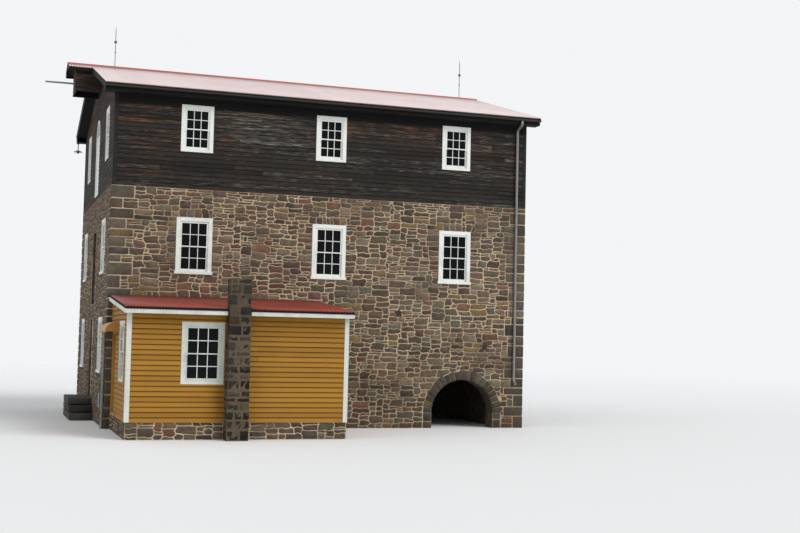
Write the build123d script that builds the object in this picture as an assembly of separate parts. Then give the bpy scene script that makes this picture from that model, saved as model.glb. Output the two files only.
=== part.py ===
from build123d import *
import os
from math import atan, cos, degrees, pi, radians, sin

# A stone grist mill with a boarded top storey, a hoist hood on its west gable and a clapboarded
# lean-to annex. X runs along the front wall to the east, Y runs from the front wall to the rear,
# Z is up. The origin is the middle of the underside of the front wall. Sizes are in millimetres.

# Main block
LENGTH = 12650.0
DEPTH = 9900.0
STONE_WALL = 550.0
TIMBER_WALL = 180.0
TIMBER_INSET = 20.0

# Floor levels and heights
GROUND_FLOOR = 660.0
GROUND_STOREY = 2880.0
SECOND_STOREY = 3410.0
FLOOR_DECK = 60.0
JOIST_DEPTH = 240.0
JOIST_WIDTH = 100.0
JOIST_SPACING = 900.0
FLOOR_ABOVE_STONE = 150.0
EAVE_RISE = 2800.0

# Main roof
ROOF_RISE = 1520.0
EAVE_OVERHANG = 420.0
RAKE_OVERHANG = 310.0
ROOF_THICKNESS = 45.0
RIDGE_CAP_WIDTH = 160.0
RIDGE_CAP_THICKNESS = 4.0
RAFTER_DEPTH = 150.0
RAFTER_WIDTH = 75.0
RAFTER_PAIRS = 10
COLLAR_DROP = 950.0
RIDGE_BOARD_WIDTH = 40.0
RIDGE_BOARD_DEPTH = 220.0

# Hoist hood on the west gable
HOOD_REACH = 1030.0
HOOD_HALF_WIDTH = 720.0
HOOD_BOX_REACH = 790.0
HOOD_BOX_HALF_WIDTH = 560.0
HOOD_BOX_DROP = 920.0
BOARD = 25.0
POLE_RADIUS = 28.0
POLE_LENGTH = 900.0
POLE_ABOVE_BOX_FLOOR = 320.0

# Boards at the eaves, rakes and corners
FASCIA_HEIGHT = 150.0
FASCIA_SETBACK = 80.0
FRIEZE_HEIGHT = 250.0
BARGE_HEIGHT = 120.0
CORNER_BOARD = 110.0
CORNER_BOARD_PROUD = 28.0

# Rainwater goods
GUTTER_RADIUS = 55.0
GUTTER_METAL = 3.0
DOWNSPOUT_RADIUS = 40.0
DOWNSPOUT_FROM_END = 320.0
DOWNSPOUT_FOOT = 1350.0
DOWNSPOUT_OFF_WALL = 15.0
OUTLET_LENGTH = 40.0

# Sash windows, over their wooden frames
STONE_WINDOW = (1025.0, 1615.0)
TOP_WINDOW = (925.0, 1350.0)
ANNEX_WINDOW = (1090.0, 1580.0)
SIDE_WINDOW = (1020.0, 1560.0)
WINDOW_MARGIN = 2340.0
GABLE_WINDOW_MARGIN = 1900.0
SILL_ABOVE_FLOOR = 830.0
TOP_SILL_ABOVE_FLOOR = 920.0
GABLE_TOP_WINDOW = (925.0, 1550.0)
GABLE_TOP_SILL_ABOVE_FLOOR = 800.0
CASING = 110.0
FRAME_DEPTH = 120.0
FRAME_PROUD = 25.0
SILL_HEIGHT = 75.0
SILL_EAR = 30.0
SILL_NOSE = 25.0
SASH_THICKNESS = 32.0
SASH_REVEAL = 22.0
SASH_STILE = 50.0
SASH_BOTTOM_RAIL = 75.0
MEETING_RAIL = 32.0
SASH_HORN = 40.0
SEAT_GAP = 0.3
GLASS = 4.0

# Doors
GABLE_DOOR_OPENING = (1200.0, 2420.0)
GABLE_DOOR_FRAME_HEIGHT = 1900.0
GABLE_DOOR_RECESS = 80.0
LOADING_DOOR = (1200.0, 2270.0)
LOADING_DOOR_RECESS = 90.0
ARCHED_DOOR_WIDTH = 1100.0
ARCHED_DOOR_SPRING = 1890.0
ARCHED_DOOR_SILL = 15.0
DOOR_FRAME = 90.0
DOOR_FRAME_DEPTH = 130.0
DOOR_STOP = 14.0
DOOR_LEAF = 45.0
DOOR_CLEARANCE = 5.0
DOOR_FOOT_GAP = 12.0
LATCH_CLEARANCE = 8.0
HINGE_PIN_RADIUS = 7.0
HINGE_PIN_PLAY = 0.3
HINGE_KNUCKLE_RADIUS = 12.0
HINGE_OFFSET = 14.0
HINGE_HEIGHT = 60.0
HINGE_STRAP = 380.0
HINGE_FROM_END = 220.0

# Race arches through the front and rear walls
RACE_FROM_EAST = 1990.0
RACE_RADIUS = 1000.0
RACE_SPRING = 457.0
VOUSSOIR_DEPTH = 270.0
VOUSSOIRS = 21
MORTAR = 10.0
RACE_BAY_MARGIN = 360.0

# Steps at the gable door
STEP_REACH = 700.0
LANDING_LENGTH = 2100.0
LANDING_BEFORE_DOOR = 450.0
STEP_TREAD = 300.0
STEP_RISERS = 3

# Annex
ANNEX_INSET = 150.0
ANNEX_LENGTH = 5720.0
ANNEX_DEPTH = 3750.0
ANNEX_WALL = 140.0
ANNEX_BASE_WALL = 300.0
ANNEX_FLOOR = 500.0
ANNEX_ROOF_HIGH = 3700.0
ANNEX_ROOF_FALL = 390.0
ANNEX_EAVE_OVERHANG = 350.0
ANNEX_RAKE_WEST = 120.0
ANNEX_RAKE_EAST = 80.0
ANNEX_FASCIA = 105.0
ANNEX_CORNER_BOARD = 118.0
ANNEX_WINDOW_FROM_WEST = 1890.0
ANNEX_WINDOW_ABOVE_FLOOR = 900.0
SIDE_WINDOW_FROM_FRONT = 1100.0
SIDE_WINDOW_ABOVE_FLOOR = 910.0
ANNEX_DOOR_OPENING = (1150.0, 2300.0)
HOOD_PROJECTION = 360.0
HOOD_DROP = 270.0
DOOR_HOOD_WIDTH = 1640.0
DOOR_HOOD_TOP = 2460.0
CHIMNEY_WIDTH = 600.0
CHIMNEY_TOP_WIDTH = 570.0
CHIMNEY_PROJECTION = 450.0
CHIMNEY_FROM_WEST = 2750.0
CHIMNEY_HEIGHT = 4110.0
CHIMNEY_WALL = 140.0
FLUE_FLOOR = 1100.0

# Small fittings
ROD_FROM_WEST = 430.0
ROD_FROM_EAST = 350.0
ROD_HEIGHT = 1400.0
ROD_RADIUS = 11.0
ROD_BALL_RADIUS = 48.0
ROD_BALL_HEIGHT = 860.0
ANCHOR_RADIUS = 150.0
ANCHOR_THICKNESS = 22.0
ANCHORS = ((8554.0, 3430.0), (11360.0, 2475.0))
PIPE_RADIUS = 42.0
PIPE_TOP = 2650.0
LAMP_DISC_RADIUS = 165.0
LAMP_STEM = 250.0

# Limits and levels that follow from the sizes above
X_WEST = -LENGTH / 2
X_EAST = LENGTH / 2
Y_FRONT = -STONE_WALL / 2
Y_REAR = Y_FRONT + DEPTH
Y_RIDGE = (Y_FRONT + Y_REAR) / 2
SECOND_FLOOR = GROUND_FLOOR + GROUND_STOREY
THIRD_FLOOR = SECOND_FLOOR + SECOND_STOREY
STONE_TOP = THIRD_FLOOR - FLOOR_ABOVE_STONE
EAVE_Z = STONE_TOP + EAVE_RISE
RIDGE_Z = EAVE_Z + ROOF_RISE
ROOF_SLOPE = ROOF_RISE / (DEPTH / 2 + EAVE_OVERHANG)
ROOF_DEPTH_UPRIGHT = ROOF_THICKNESS / cos(atan(ROOF_SLOPE))
FASCIA_BOTTOM = EAVE_Z - 50.0 - FASCIA_HEIGHT
RACE_X = X_EAST - RACE_FROM_EAST
ANNEX_WEST = X_WEST + ANNEX_INSET
ANNEX_EAST = ANNEX_WEST + ANNEX_LENGTH
ANNEX_FRONT = Y_FRONT - ANNEX_DEPTH
ANNEX_SLOPE = ANNEX_ROOF_FALL / (ANNEX_DEPTH + ANNEX_EAVE_OVERHANG)
ANNEX_BASE_TOP = ANNEX_FLOOR - FLOOR_DECK

FRONT = Pos(0, Y_FRONT, 0)
REAR = Pos(0, Y_REAR, 0) * Rot(0, 0, 180)
WEST = Pos(X_WEST, Y_RIDGE, 0) * Rot(0, 0, -90)
EAST = Pos(X_EAST, Y_RIDGE, 0) * Rot(0, 0, 90)


def slab(x0, x1, y0, y1, z0, z1):
    """A block between two limits on each axis."""
    middle = Pos((x0 + x1) / 2, (y0 + y1) / 2, (z0 + z1) / 2)
    return middle * Box(x1 - x0, y1 - y0, z1 - z0)


def along_x(outline, x0, x1):
    """Extrudes an outline of (y, z) points from x0 to x1."""
    face = make_face(Polyline([(x0, y, z) for y, z in outline], close=True))
    return extrude(face, amount=x1 - x0, dir=(1, 0, 0))


def along_y(outline, y0, y1):
    """Extrudes an outline of (x, z) points from y0 to y1."""
    face = make_face(Polyline([(x, y0, z) for x, z in outline], close=True))
    return extrude(face, amount=y1 - y0, dir=(0, 1, 0))


def solids_of(pieces):
    """The single solids of a list of shapes."""
    found = []
    for piece in pieces:
        found += list(piece.solids())
    return found


def save(node, *pieces):
    """Writes one node, whose solids stay separate."""
    found = solids_of(pieces)
    shape = found[0] if len(found) == 1 else Compound(children=found)
    shape.label = node
    export_step(shape, f"parts/{node}.step")


def roof_top(y):
    """Height of the top of the main roof over a place on the Y axis."""
    return RIDGE_Z - ROOF_SLOPE * abs(y - Y_RIDGE)


def roof_under(y):
    """Height of the underside of the main roof."""
    return roof_top(y) - ROOF_DEPTH_UPRIGHT


def annex_top(y):
    """Height of the top of the annex roof."""
    return ANNEX_ROOF_HIGH - ANNEX_SLOPE * (Y_FRONT - y)


def annex_under(y):
    """Height of the underside of the annex roof."""
    return annex_top(y) - ROOF_THICKNESS


# Windows

def sash(width, z0, z1, y0, bottom_rail, top_rail, horn):
    """One sash with its pane, standing between z0 and z1 with its outer face at y0."""
    half = width / 2 - SEAT_GAP
    frame = slab(-half, half, y0, y0 + SASH_THICKNESS, z0, z1)
    light = (-half + SASH_STILE, half - SASH_STILE)
    frame -= slab(light[0], light[1], y0, y0 + SASH_THICKNESS, z0 + bottom_rail, z1 - top_rail)
    if horn:
        for side in (-1, 1):
            middle = side * (half - SASH_STILE / 2)
            frame += slab(middle - SASH_STILE / 2, middle + SASH_STILE / 2,
                          y0, y0 + SASH_THICKNESS, z0 - SASH_HORN, z0)
    y_glass = y0 + (SASH_THICKNESS - GLASS) / 2
    pane = slab(light[0], light[1], y_glass, y_glass + GLASS, z0 + bottom_rail, z1 - top_rail)
    return frame, pane


def window(size, ear=0.0):
    """A double-hung window on its sill: wooden pieces and panes, outer wall face at y = 0."""
    width, height = size
    clear = width - 2 * CASING
    frame = slab(-width / 2, width / 2, -FRAME_PROUD, FRAME_DEPTH - FRAME_PROUD, 0, height)
    frame -= slab(-clear / 2, clear / 2, -FRAME_PROUD, FRAME_DEPTH, SILL_HEIGHT, height - CASING)
    if ear:
        frame += slab(-width / 2 - ear, width / 2 + ear, -FRAME_PROUD - SILL_NOSE, 0, 0, SILL_HEIGHT)
    low = SILL_HEIGHT + SEAT_GAP
    high = height - CASING - SEAT_GAP
    middle = (low + high) / 2
    y_upper = SASH_REVEAL - FRAME_PROUD
    y_lower = y_upper + SASH_THICKNESS + SEAT_GAP
    upper, upper_pane = sash(clear, middle - MEETING_RAIL / 2, high, y_upper,
                             MEETING_RAIL, SASH_STILE, True)
    lower, lower_pane = sash(clear, low, middle + MEETING_RAIL / 2, y_lower,
                             SASH_BOTTOM_RAIL, MEETING_RAIL, False)
    return [frame, upper, lower], [upper_pane, lower_pane]


def opening(size, place, x, z, depth):
    """The hole that a wooden frame fills, through a wall of the given depth."""
    return place * Pos(x, depth / 2, z + size[1] / 2) * Box(size[0], depth, size[1])


COLUMNS = (X_WEST + WINDOW_MARGIN, 0.0, X_EAST - WINDOW_MARGIN)
GABLE_COLUMN = DEPTH / 2 - GABLE_WINDOW_MARGIN
GROUND_SILL = GROUND_FLOOR + SILL_ABOVE_FLOOR
SECOND_SILL = SECOND_FLOOR + SILL_ABOVE_FLOOR
TOP_SILL = THIRD_FLOOR + TOP_SILL_ABOVE_FLOOR
GABLE_TOP_SILL = THIRD_FLOOR + GABLE_TOP_SILL_ABOVE_FLOOR

# Each entry is a size, a place along the wall seen from outside, a sill height and a sill ear
STONE_ROW = [(STONE_WINDOW, x, SECOND_SILL, SILL_EAR) for x in COLUMNS]
TOP_ROW = [(TOP_WINDOW, x, TOP_SILL, 0.0) for x in COLUMNS]
REAR_GROUND_ROW = [(STONE_WINDOW, -x, GROUND_SILL, SILL_EAR) for x in COLUMNS[:2]]
GABLE_GROUND_ROW = [(STONE_WINDOW, x, GROUND_SILL, SILL_EAR) for x in (-GABLE_COLUMN, GABLE_COLUMN)]
GABLE_SECOND_ROW = [(STONE_WINDOW, x, SECOND_SILL, SILL_EAR) for x in (-GABLE_COLUMN, GABLE_COLUMN)]
GABLE_TOP_ROW = [(GABLE_TOP_WINDOW, x, GABLE_TOP_SILL, 0.0) for x in (-GABLE_COLUMN, GABLE_COLUMN)]


def cut_windows(wall, rows, place, depth):
    """Cuts the openings of some window rows through a wall."""
    for size, x, z, ear in rows:
        wall -= opening(size, place, x, z, depth)
    return wall


def hang_windows(rows, place, face=0.0):
    """Window pieces for some rows, set in a wall whose outer face lies at the given depth."""
    wood, panes = [], []
    for size, x, z, ear in rows:
        pieces, glass = window(size, ear)
        spot = place * Pos(x, face, z)
        wood += [spot * piece for piece in pieces]
        panes += [spot * piece for piece in glass]
    return wood, panes


# Race arches

def race_ring_points():
    """The outer corners of the voussoirs, from one springing to the other."""
    radius = RACE_RADIUS + VOUSSOIR_DEPTH
    turns = [pi * i / VOUSSOIRS for i in range(VOUSSOIRS + 1)]
    return [(radius * cos(a), RACE_SPRING + radius * sin(a)) for a in turns]


def race_cut(place):
    """The passage with the room for its ring of voussoirs, through a stone wall."""
    ring = along_y(race_ring_points(), 0, STONE_WALL)
    passage = slab(-RACE_RADIUS, RACE_RADIUS, 0, STONE_WALL, 0, RACE_SPRING)
    return place * (ring + passage)


def race_arch(place):
    """A half-round ring of wedge stones with open mortar joints."""
    ring = along_y(race_ring_points(), 0, STONE_WALL)
    hole = Pos(0, STONE_WALL / 2, RACE_SPRING) * Rot(90, 0, 0) * Cylinder(RACE_RADIUS, STONE_WALL)
    ring -= hole
    reach = 2 * (RACE_RADIUS + VOUSSOIR_DEPTH)
    for i in range(1, VOUSSOIRS):
        turn = 180.0 * i / VOUSSOIRS
        joint = Pos(reach / 2, STONE_WALL / 2, 0) * Box(reach, STONE_WALL, MORTAR)
        ring -= Pos(0, 0, RACE_SPRING) * Rot(0, -turn, 0) * joint
    return place * ring


# Stone walls

def long_wall(place, lower_rows, upper_rows, race_x):
    """The front or the rear wall as a lower and an upper part with their openings."""
    lower = place * slab(-LENGTH / 2, LENGTH / 2, 0, STONE_WALL, 0, SECOND_FLOOR)
    lower -= race_cut(place * Pos(race_x, 0, 0))
    lower = cut_windows(lower, lower_rows, place, STONE_WALL)
    upper = place * slab(-LENGTH / 2, LENGTH / 2, 0, STONE_WALL, SECOND_FLOOR, STONE_TOP)
    upper = cut_windows(upper, upper_rows, place, STONE_WALL)
    return lower, upper


def stone_walls():
    """The four stone walls; the gable walls stand between the long ones."""
    lower, upper = long_wall(FRONT, [], STONE_ROW, RACE_X)
    save("front_wall_lower", lower)
    save("front_wall_upper", upper)
    save("front_race_arch", race_arch(FRONT * Pos(RACE_X, 0, 0)))
    lower, upper = long_wall(REAR, REAR_GROUND_ROW, STONE_ROW, -RACE_X)
    save("rear_wall_lower", lower)
    save("rear_wall_upper", upper)
    save("rear_race_arch", race_arch(REAR * Pos(-RACE_X, 0, 0)))

    reach = DEPTH / 2 - STONE_WALL
    door_half = GABLE_DOOR_OPENING[0] / 2
    door_top = GROUND_FLOOR + GABLE_DOOR_OPENING[1]
    south = WEST * slab(door_half, reach, 0, STONE_WALL, 0, door_top)
    north = WEST * slab(-reach, -door_half, 0, STONE_WALL, 0, door_top)
    upper = WEST * slab(-reach, reach, 0, STONE_WALL, door_top, STONE_TOP)
    upper -= opening(LOADING_DOOR, WEST, 0, SECOND_FLOOR, STONE_WALL)
    save("west_wall_south", cut_windows(south, GABLE_GROUND_ROW[1:], WEST, STONE_WALL))
    save("west_wall_north", cut_windows(north, GABLE_GROUND_ROW[:1], WEST, STONE_WALL))
    save("west_wall_upper", cut_windows(upper, GABLE_GROUND_ROW + GABLE_SECOND_ROW, WEST, STONE_WALL))
    east = EAST * slab(-reach, reach, 0, STONE_WALL, 0, STONE_TOP)
    save("east_wall", cut_windows(east, GABLE_GROUND_ROW + GABLE_SECOND_ROW, EAST, STONE_WALL))


# Boarded top storey

def arched_block(half, spring, z0, y0, y1):
    """A block with a half-round head above the spring line, between two depths."""
    z_spring = z0 + spring
    sides = Polyline((half, y0, z_spring), (half, y0, z0), (-half, y0, z0), (-half, y0, z_spring))
    head = ThreePointArc((-half, y0, z_spring), (0, y0, z_spring + half), (half, y0, z_spring))
    return extrude(make_face(sides + head), amount=y1 - y0, dir=(0, 1, 0))


def timber_storey():
    """Boarded walls that stand on the stone and reach the underside of the roof."""
    inner = TIMBER_INSET + TIMBER_WALL
    x0, x1 = X_WEST + TIMBER_INSET, X_EAST - TIMBER_INSET
    y0, y1 = Y_FRONT + TIMBER_INSET, Y_FRONT + inner
    outline = [(y0, STONE_TOP), (y1, STONE_TOP), (y1, roof_under(y1)), (y0, roof_under(y0))]
    front = along_x(outline, x0, x1)
    save("timber_wall_front", cut_windows(front, TOP_ROW, FRONT, inner))
    rear = mirror(along_x(outline, x0, x1), about=Plane.XZ.offset(-Y_RIDGE))
    save("timber_wall_rear", cut_windows(rear, TOP_ROW, REAR, inner))

    y0, y1 = Y_FRONT + inner, Y_REAR - inner
    gable = [(y0, STONE_TOP), (y1, STONE_TOP), (y1, roof_under(y1)),
             (Y_RIDGE, roof_under(Y_RIDGE)), (y0, roof_under(y0))]
    west = along_x(gable, X_WEST + TIMBER_INSET, X_WEST + inner)
    west = cut_windows(west, GABLE_TOP_ROW, WEST, inner)
    sill = THIRD_FLOOR + ARCHED_DOOR_SILL
    west -= WEST * arched_block(ARCHED_DOOR_WIDTH / 2, ARCHED_DOOR_SPRING, sill, 0, inner)
    save("timber_gable_west", west)
    east = along_x(gable, X_EAST - inner, X_EAST - TIMBER_INSET)
    save("timber_gable_east", cut_windows(east, GABLE_TOP_ROW, EAST, inner))


def corner_boards():
    """An upright board on each face of the four corners of the boarded storey."""
    proud = CORNER_BOARD_PROUD - TIMBER_INSET
    boards = []
    for sx in (-1, 1):
        for y_corner, sy in ((Y_FRONT, -1), (Y_REAR, 1)):
            x_out = sx * (LENGTH / 2 + proud)
            y_out = y_corner + sy * proud
            x_in = x_out - sx * CORNER_BOARD
            y_in = y_out - sy * CORNER_BOARD
            x_face = sx * (LENGTH / 2 - TIMBER_INSET)
            y_face = y_corner - sy * TIMBER_INSET
            post = slab(min(x_out, x_in), max(x_out, x_in), min(y_out, y_in), max(y_out, y_in),
                        STONE_TOP, FASCIA_BOTTOM)
            post -= slab(min(x_face, x_in), max(x_face, x_in), min(y_face, y_in), max(y_face, y_in),
                         STONE_TOP, FASCIA_BOTTOM)
            boards.append(post)
    return boards


# Floors

def joists(x0, x1, y0, y1, top):
    """Joists from the front wall to the rear wall under a deck."""
    count = max(2, round((x1 - x0) / JOIST_SPACING))
    step = (x1 - x0 - JOIST_WIDTH) / count
    row = []
    for i in range(count + 1):
        x = x0 + i * step
        row.append(slab(x, x + JOIST_WIDTH, y0, y1, top - JOIST_DEPTH, top))
    return row


def floor(x0, x1, top):
    """A deck on joists between the stone walls."""
    y0, y1 = Y_FRONT + STONE_WALL, Y_REAR - STONE_WALL
    deck = slab(x0, x1, y0, y1, top - FLOOR_DECK, top)
    return deck + joists(x0, x1, y0, y1, top - FLOOR_DECK)


def floors():
    """The three floors; the lowest one stops short of the race bay."""
    x0, x1 = X_WEST + STONE_WALL, X_EAST - STONE_WALL
    race_side = RACE_X - RACE_RADIUS - RACE_BAY_MARGIN
    save("ground_floor", floor(x0, race_side, GROUND_FLOOR))
    save("second_floor", floor(x0, x1, SECOND_FLOOR))
    inner = TIMBER_INSET + TIMBER_WALL
    third = floor(x0, x1, THIRD_FLOOR)
    rim = slab(X_WEST + inner, X_EAST - inner, Y_FRONT + inner, Y_REAR - inner, STONE_TOP, THIRD_FLOOR)
    rim -= slab(x0, x1, Y_FRONT + STONE_WALL, Y_REAR - STONE_WALL, STONE_TOP, THIRD_FLOOR)
    save("third_floor", third + rim)


# Roof

def slope_outline(y_low):
    """Section of one roof slope from a low edge to the ridge."""
    return [(y_low, roof_top(y_low)), (Y_RIDGE, RIDGE_Z),
            (Y_RIDGE, roof_under(Y_RIDGE)), (y_low, roof_under(y_low))]


def roof():
    """Two slopes that step out over the hoist hood, their ridge cap and what carries them."""
    x_rake_west = X_WEST - RAKE_OVERHANG
    x_rake_east = X_EAST + RAKE_OVERHANG
    x_hood = X_WEST - HOOD_REACH
    front = along_x(slope_outline(Y_FRONT - EAVE_OVERHANG), x_rake_west, x_rake_east)
    front += along_x(slope_outline(Y_RIDGE - HOOD_HALF_WIDTH), x_hood, x_rake_west)
    save("roof_front_slope", front)
    save("roof_rear_slope", mirror(front, about=Plane.XZ.offset(-Y_RIDGE)))

    y0, y1 = Y_RIDGE - RIDGE_CAP_WIDTH, Y_RIDGE + RIDGE_CAP_WIDTH
    lift = RIDGE_CAP_THICKNESS
    cap = [(y0, roof_top(y0)), (Y_RIDGE, RIDGE_Z), (y1, roof_top(y1)),
           (y1, roof_top(y1) + lift), (Y_RIDGE, RIDGE_Z + lift), (y0, roof_top(y0) + lift)]
    save("ridge_cap", along_x(cap, x_hood, x_rake_east))

    roof_frame()


def roof_frame():
    """Pairs of rafters against a ridge board, with a collar under each pair."""
    inner = TIMBER_INSET + TIMBER_WALL
    depth = RAFTER_DEPTH / cos(atan(ROOF_SLOPE))
    half = RIDGE_BOARD_WIDTH / 2
    y0, y1 = Y_FRONT + inner, Y_RIDGE - half
    rafter = [(y0, roof_under(y0)), (y1, roof_under(y1)),
              (y1, roof_under(y1) - depth), (y0, roof_under(y0) - depth)]
    z_top = roof_under(Y_RIDGE)
    board = [(y1, roof_under(y1)), (Y_RIDGE, z_top), (y1 + 2 * half, roof_under(y1)),
             (y1 + 2 * half, z_top - RIDGE_BOARD_DEPTH), (y1, z_top - RIDGE_BOARD_DEPTH)]
    z_low = z_top - COLLAR_DROP
    z_high = z_low + RAFTER_DEPTH
    low, high = [(z_top - depth - z) / ROOF_SLOPE for z in (z_low, z_high)]
    collar = [(Y_RIDGE - low, z_low), (Y_RIDGE + low, z_low),
              (Y_RIDGE + high, z_high), (Y_RIDGE - high, z_high)]
    x0, x1 = X_WEST + STONE_WALL, X_EAST - STONE_WALL - RAFTER_WIDTH
    rafters, collars = [], []
    for i in range(RAFTER_PAIRS):
        x = x0 + (x1 - x0) * i / (RAFTER_PAIRS - 1)
        front = along_x(rafter, x, x + RAFTER_WIDTH)
        rafters += [front, mirror(front, about=Plane.XZ.offset(-Y_RIDGE))]
        collars.append(along_x(collar, x, x + RAFTER_WIDTH))
    save("rafters", *rafters)
    save("collar_ties", *collars)
    save("ridge_board", along_x(board, X_WEST + inner, X_EAST - inner))


def hoist_hood():
    """A boarded box, open below, under the roof where it steps out over the west gable."""
    x_out, x_in = X_WEST - HOOD_BOX_REACH, X_WEST + TIMBER_INSET
    y0, y1 = Y_RIDGE - HOOD_BOX_HALF_WIDTH, Y_RIDGE + HOOD_BOX_HALF_WIDTH
    z0 = RIDGE_Z - HOOD_BOX_DROP
    shell = [(y0, z0), (y1, z0), (y1, roof_under(y1)), (Y_RIDGE, roof_under(Y_RIDGE)),
             (y0, roof_under(y0))]
    hollow = [(y0 + BOARD, z0), (y1 - BOARD, z0), (y1 - BOARD, roof_under(y1 - BOARD)),
              (Y_RIDGE, roof_under(Y_RIDGE)), (y0 + BOARD, roof_under(y0 + BOARD))]
    box = along_x(shell, x_out, x_in) - along_x(hollow, x_out + BOARD, x_in)
    save("hoist_hood", box)
    z_pole = z0 + POLE_ABOVE_BOX_FLOOR
    pole = Pos(x_out - POLE_LENGTH / 2, Y_RIDGE, z_pole) * Rot(0, 90, 0) * Cylinder(POLE_RADIUS, POLE_LENGTH)
    flange = Pos(x_out - BOARD / 2, Y_RIDGE, z_pole) * Rot(0, 90, 0) * Cylinder(2 * POLE_RADIUS, BOARD)
    save("hoist_pole", pole + flange)


def eave_boards():
    """Boxed eaves along the front and the rear: fascia, soffit, frieze and closed ends."""
    x0, x1 = X_WEST - RAKE_OVERHANG, X_EAST + RAKE_OVERHANG
    y_out = Y_FRONT - EAVE_OVERHANG + FASCIA_SETBACK
    y_wall = Y_FRONT + TIMBER_INSET
    z0 = FASCIA_BOTTOM
    fascia = [(y_out, z0), (y_out + BOARD, z0), (y_out + BOARD, roof_under(y_out + BOARD)),
              (y_out, roof_under(y_out))]
    trim = along_x(fascia, x0, x1)
    trim += slab(x0, x1, y_out + BOARD, y_wall, z0, z0 + BOARD)
    end = [(y_out + BOARD, z0 + BOARD), (y_wall, z0 + BOARD), (y_wall, roof_under(y_wall)),
           (y_out + BOARD, roof_under(y_out + BOARD))]
    trim += along_x(end, x0, x0 + BOARD) + along_x(end, x1 - BOARD, x1)
    post = CORNER_BOARD - CORNER_BOARD_PROUD + TIMBER_INSET
    trim += slab(X_WEST + post, X_EAST - post, y_wall - BOARD, y_wall, z0 - FRIEZE_HEIGHT, z0)
    for size, x, z, ear in TOP_ROW:
        trim -= slab(x - size[0] / 2, x + size[0] / 2, y_wall - BOARD, y_wall, z, z + size[1])
    save("eave_boards", trim, mirror(trim, about=Plane.XZ.offset(-Y_RIDGE)))


def rake_boards(x_out, x_wall, y_stop):
    """Bargeboard and soffit under the roof edge at one gable, on the front slope."""
    side = 1 if x_wall > x_out else -1
    y_low = Y_FRONT + TIMBER_INSET
    depth = BARGE_HEIGHT

    def band(y0, y1, drop0, drop1):
        return [(y0, roof_under(y0) - drop0), (y1, roof_under(y1) - drop0),
                (y1, roof_under(y1) - drop1), (y0, roof_under(y0) - drop1)]

    def across(outline, xa, xb):
        return along_x(outline, min(xa, xb), max(xa, xb))

    barge = across(band(y_low, y_stop, 0, depth), x_out, x_out + side * BOARD)
    soffit = across(band(y_low, y_stop, depth - BOARD, depth), x_out + side * BOARD, x_wall)
    return barge + soffit


def bargeboards():
    """Boards under the rakes of both gables and round the edge of the hoist hood."""
    x_west, x_east = X_WEST - RAKE_OVERHANG, X_EAST + RAKE_OVERHANG
    pieces = []
    y_hood = Y_RIDGE - HOOD_BOX_HALF_WIDTH
    west = rake_boards(x_west, X_WEST + TIMBER_INSET, y_hood)
    x_tip = X_WEST - HOOD_REACH
    y0 = Y_RIDGE - HOOD_HALF_WIDTH
    drop = BARGE_HEIGHT / 2

    def band(ya, yb):
        return [(ya, roof_under(ya)), (yb, roof_under(yb)),
                (yb, roof_under(yb) - drop), (ya, roof_under(ya) - drop)]

    west += along_x(band(y0, y0 + BOARD), x_tip, x_west)
    west += along_x(band(y0, Y_RIDGE), x_tip, x_tip + BOARD)
    pieces += [west, mirror(west, about=Plane.XZ.offset(-Y_RIDGE))]
    east = rake_boards(x_east, X_EAST - TIMBER_INSET, Y_RIDGE)
    pieces += [east, mirror(east, about=Plane.XZ.offset(-Y_RIDGE))]
    west_pair = pieces[0] + pieces[1]
    east_pair = pieces[2] + pieces[3]
    save("bargeboards", west_pair, east_pair)


def half_pipe(radius, metal, x0, x1, y, z):
    """An open half-round channel with closed ends, its rim at height z."""
    length = x1 - x0
    lie = Pos((x0 + x1) / 2, y, z) * Rot(0, 90, 0)
    body = lie * Cylinder(radius, length)
    body -= slab(x0, x1, y - radius, y + radius, z, z + radius)
    body -= lie * Cylinder(radius - metal, length - 2 * metal)
    return body


def rainwater():
    """Gutters on both eaves, each with a downspout near its east end."""
    x0, x1 = X_WEST - RAKE_OVERHANG, X_EAST + RAKE_OVERHANG
    y = Y_FRONT - EAVE_OVERHANG + FASCIA_SETBACK - GUTTER_RADIUS
    z = roof_under(y) - 10.0
    gutter = half_pipe(GUTTER_RADIUS, GUTTER_METAL, x0, x1, y, z)
    x = X_EAST - DOWNSPOUT_FROM_END
    r = DOWNSPOUT_RADIUS
    y_wall = Y_FRONT - DOWNSPOUT_OFF_WALL - r
    z_outlet = z - GUTTER_RADIUS - OUTLET_LENGTH
    outlet = Pos(x, y, (z + z_outlet) / 2 - GUTTER_RADIUS / 4) * Cylinder(r, z - z_outlet - GUTTER_RADIUS / 2)
    bore = Pos(x, y, (z + z_outlet) / 2) * Cylinder(r - GUTTER_METAL, z - z_outlet)
    gutter = gutter + outlet - bore
    bend = 2 * r
    drop = z_outlet - 90.0
    route = FilletPolyline((x, y, z_outlet), (x, y, drop), (x, y_wall, drop - 130.0),
                           (x, y_wall, DOWNSPOUT_FOOT + 90.0), (x, y_wall - 130.0, DOWNSPOUT_FOOT),
                           radius=bend)
    pipe = sweep(Plane(origin=(x, y, z_outlet), z_dir=(0, 0, -1)) * Circle(r), path=route)
    pieces = [gutter, pipe]
    pieces += [mirror(piece, about=Plane.XZ.offset(-Y_RIDGE)) for piece in (gutter, pipe)]
    save("gutters", pieces[0], pieces[2])
    save("downspouts", pieces[1], pieces[3])


# Doors

def hinge_levels(height):
    """Heights of the lower edges of the two hinges of a leaf."""
    return (HINGE_FROM_END, height - HINGE_FROM_END - HINGE_HEIGHT)


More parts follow.
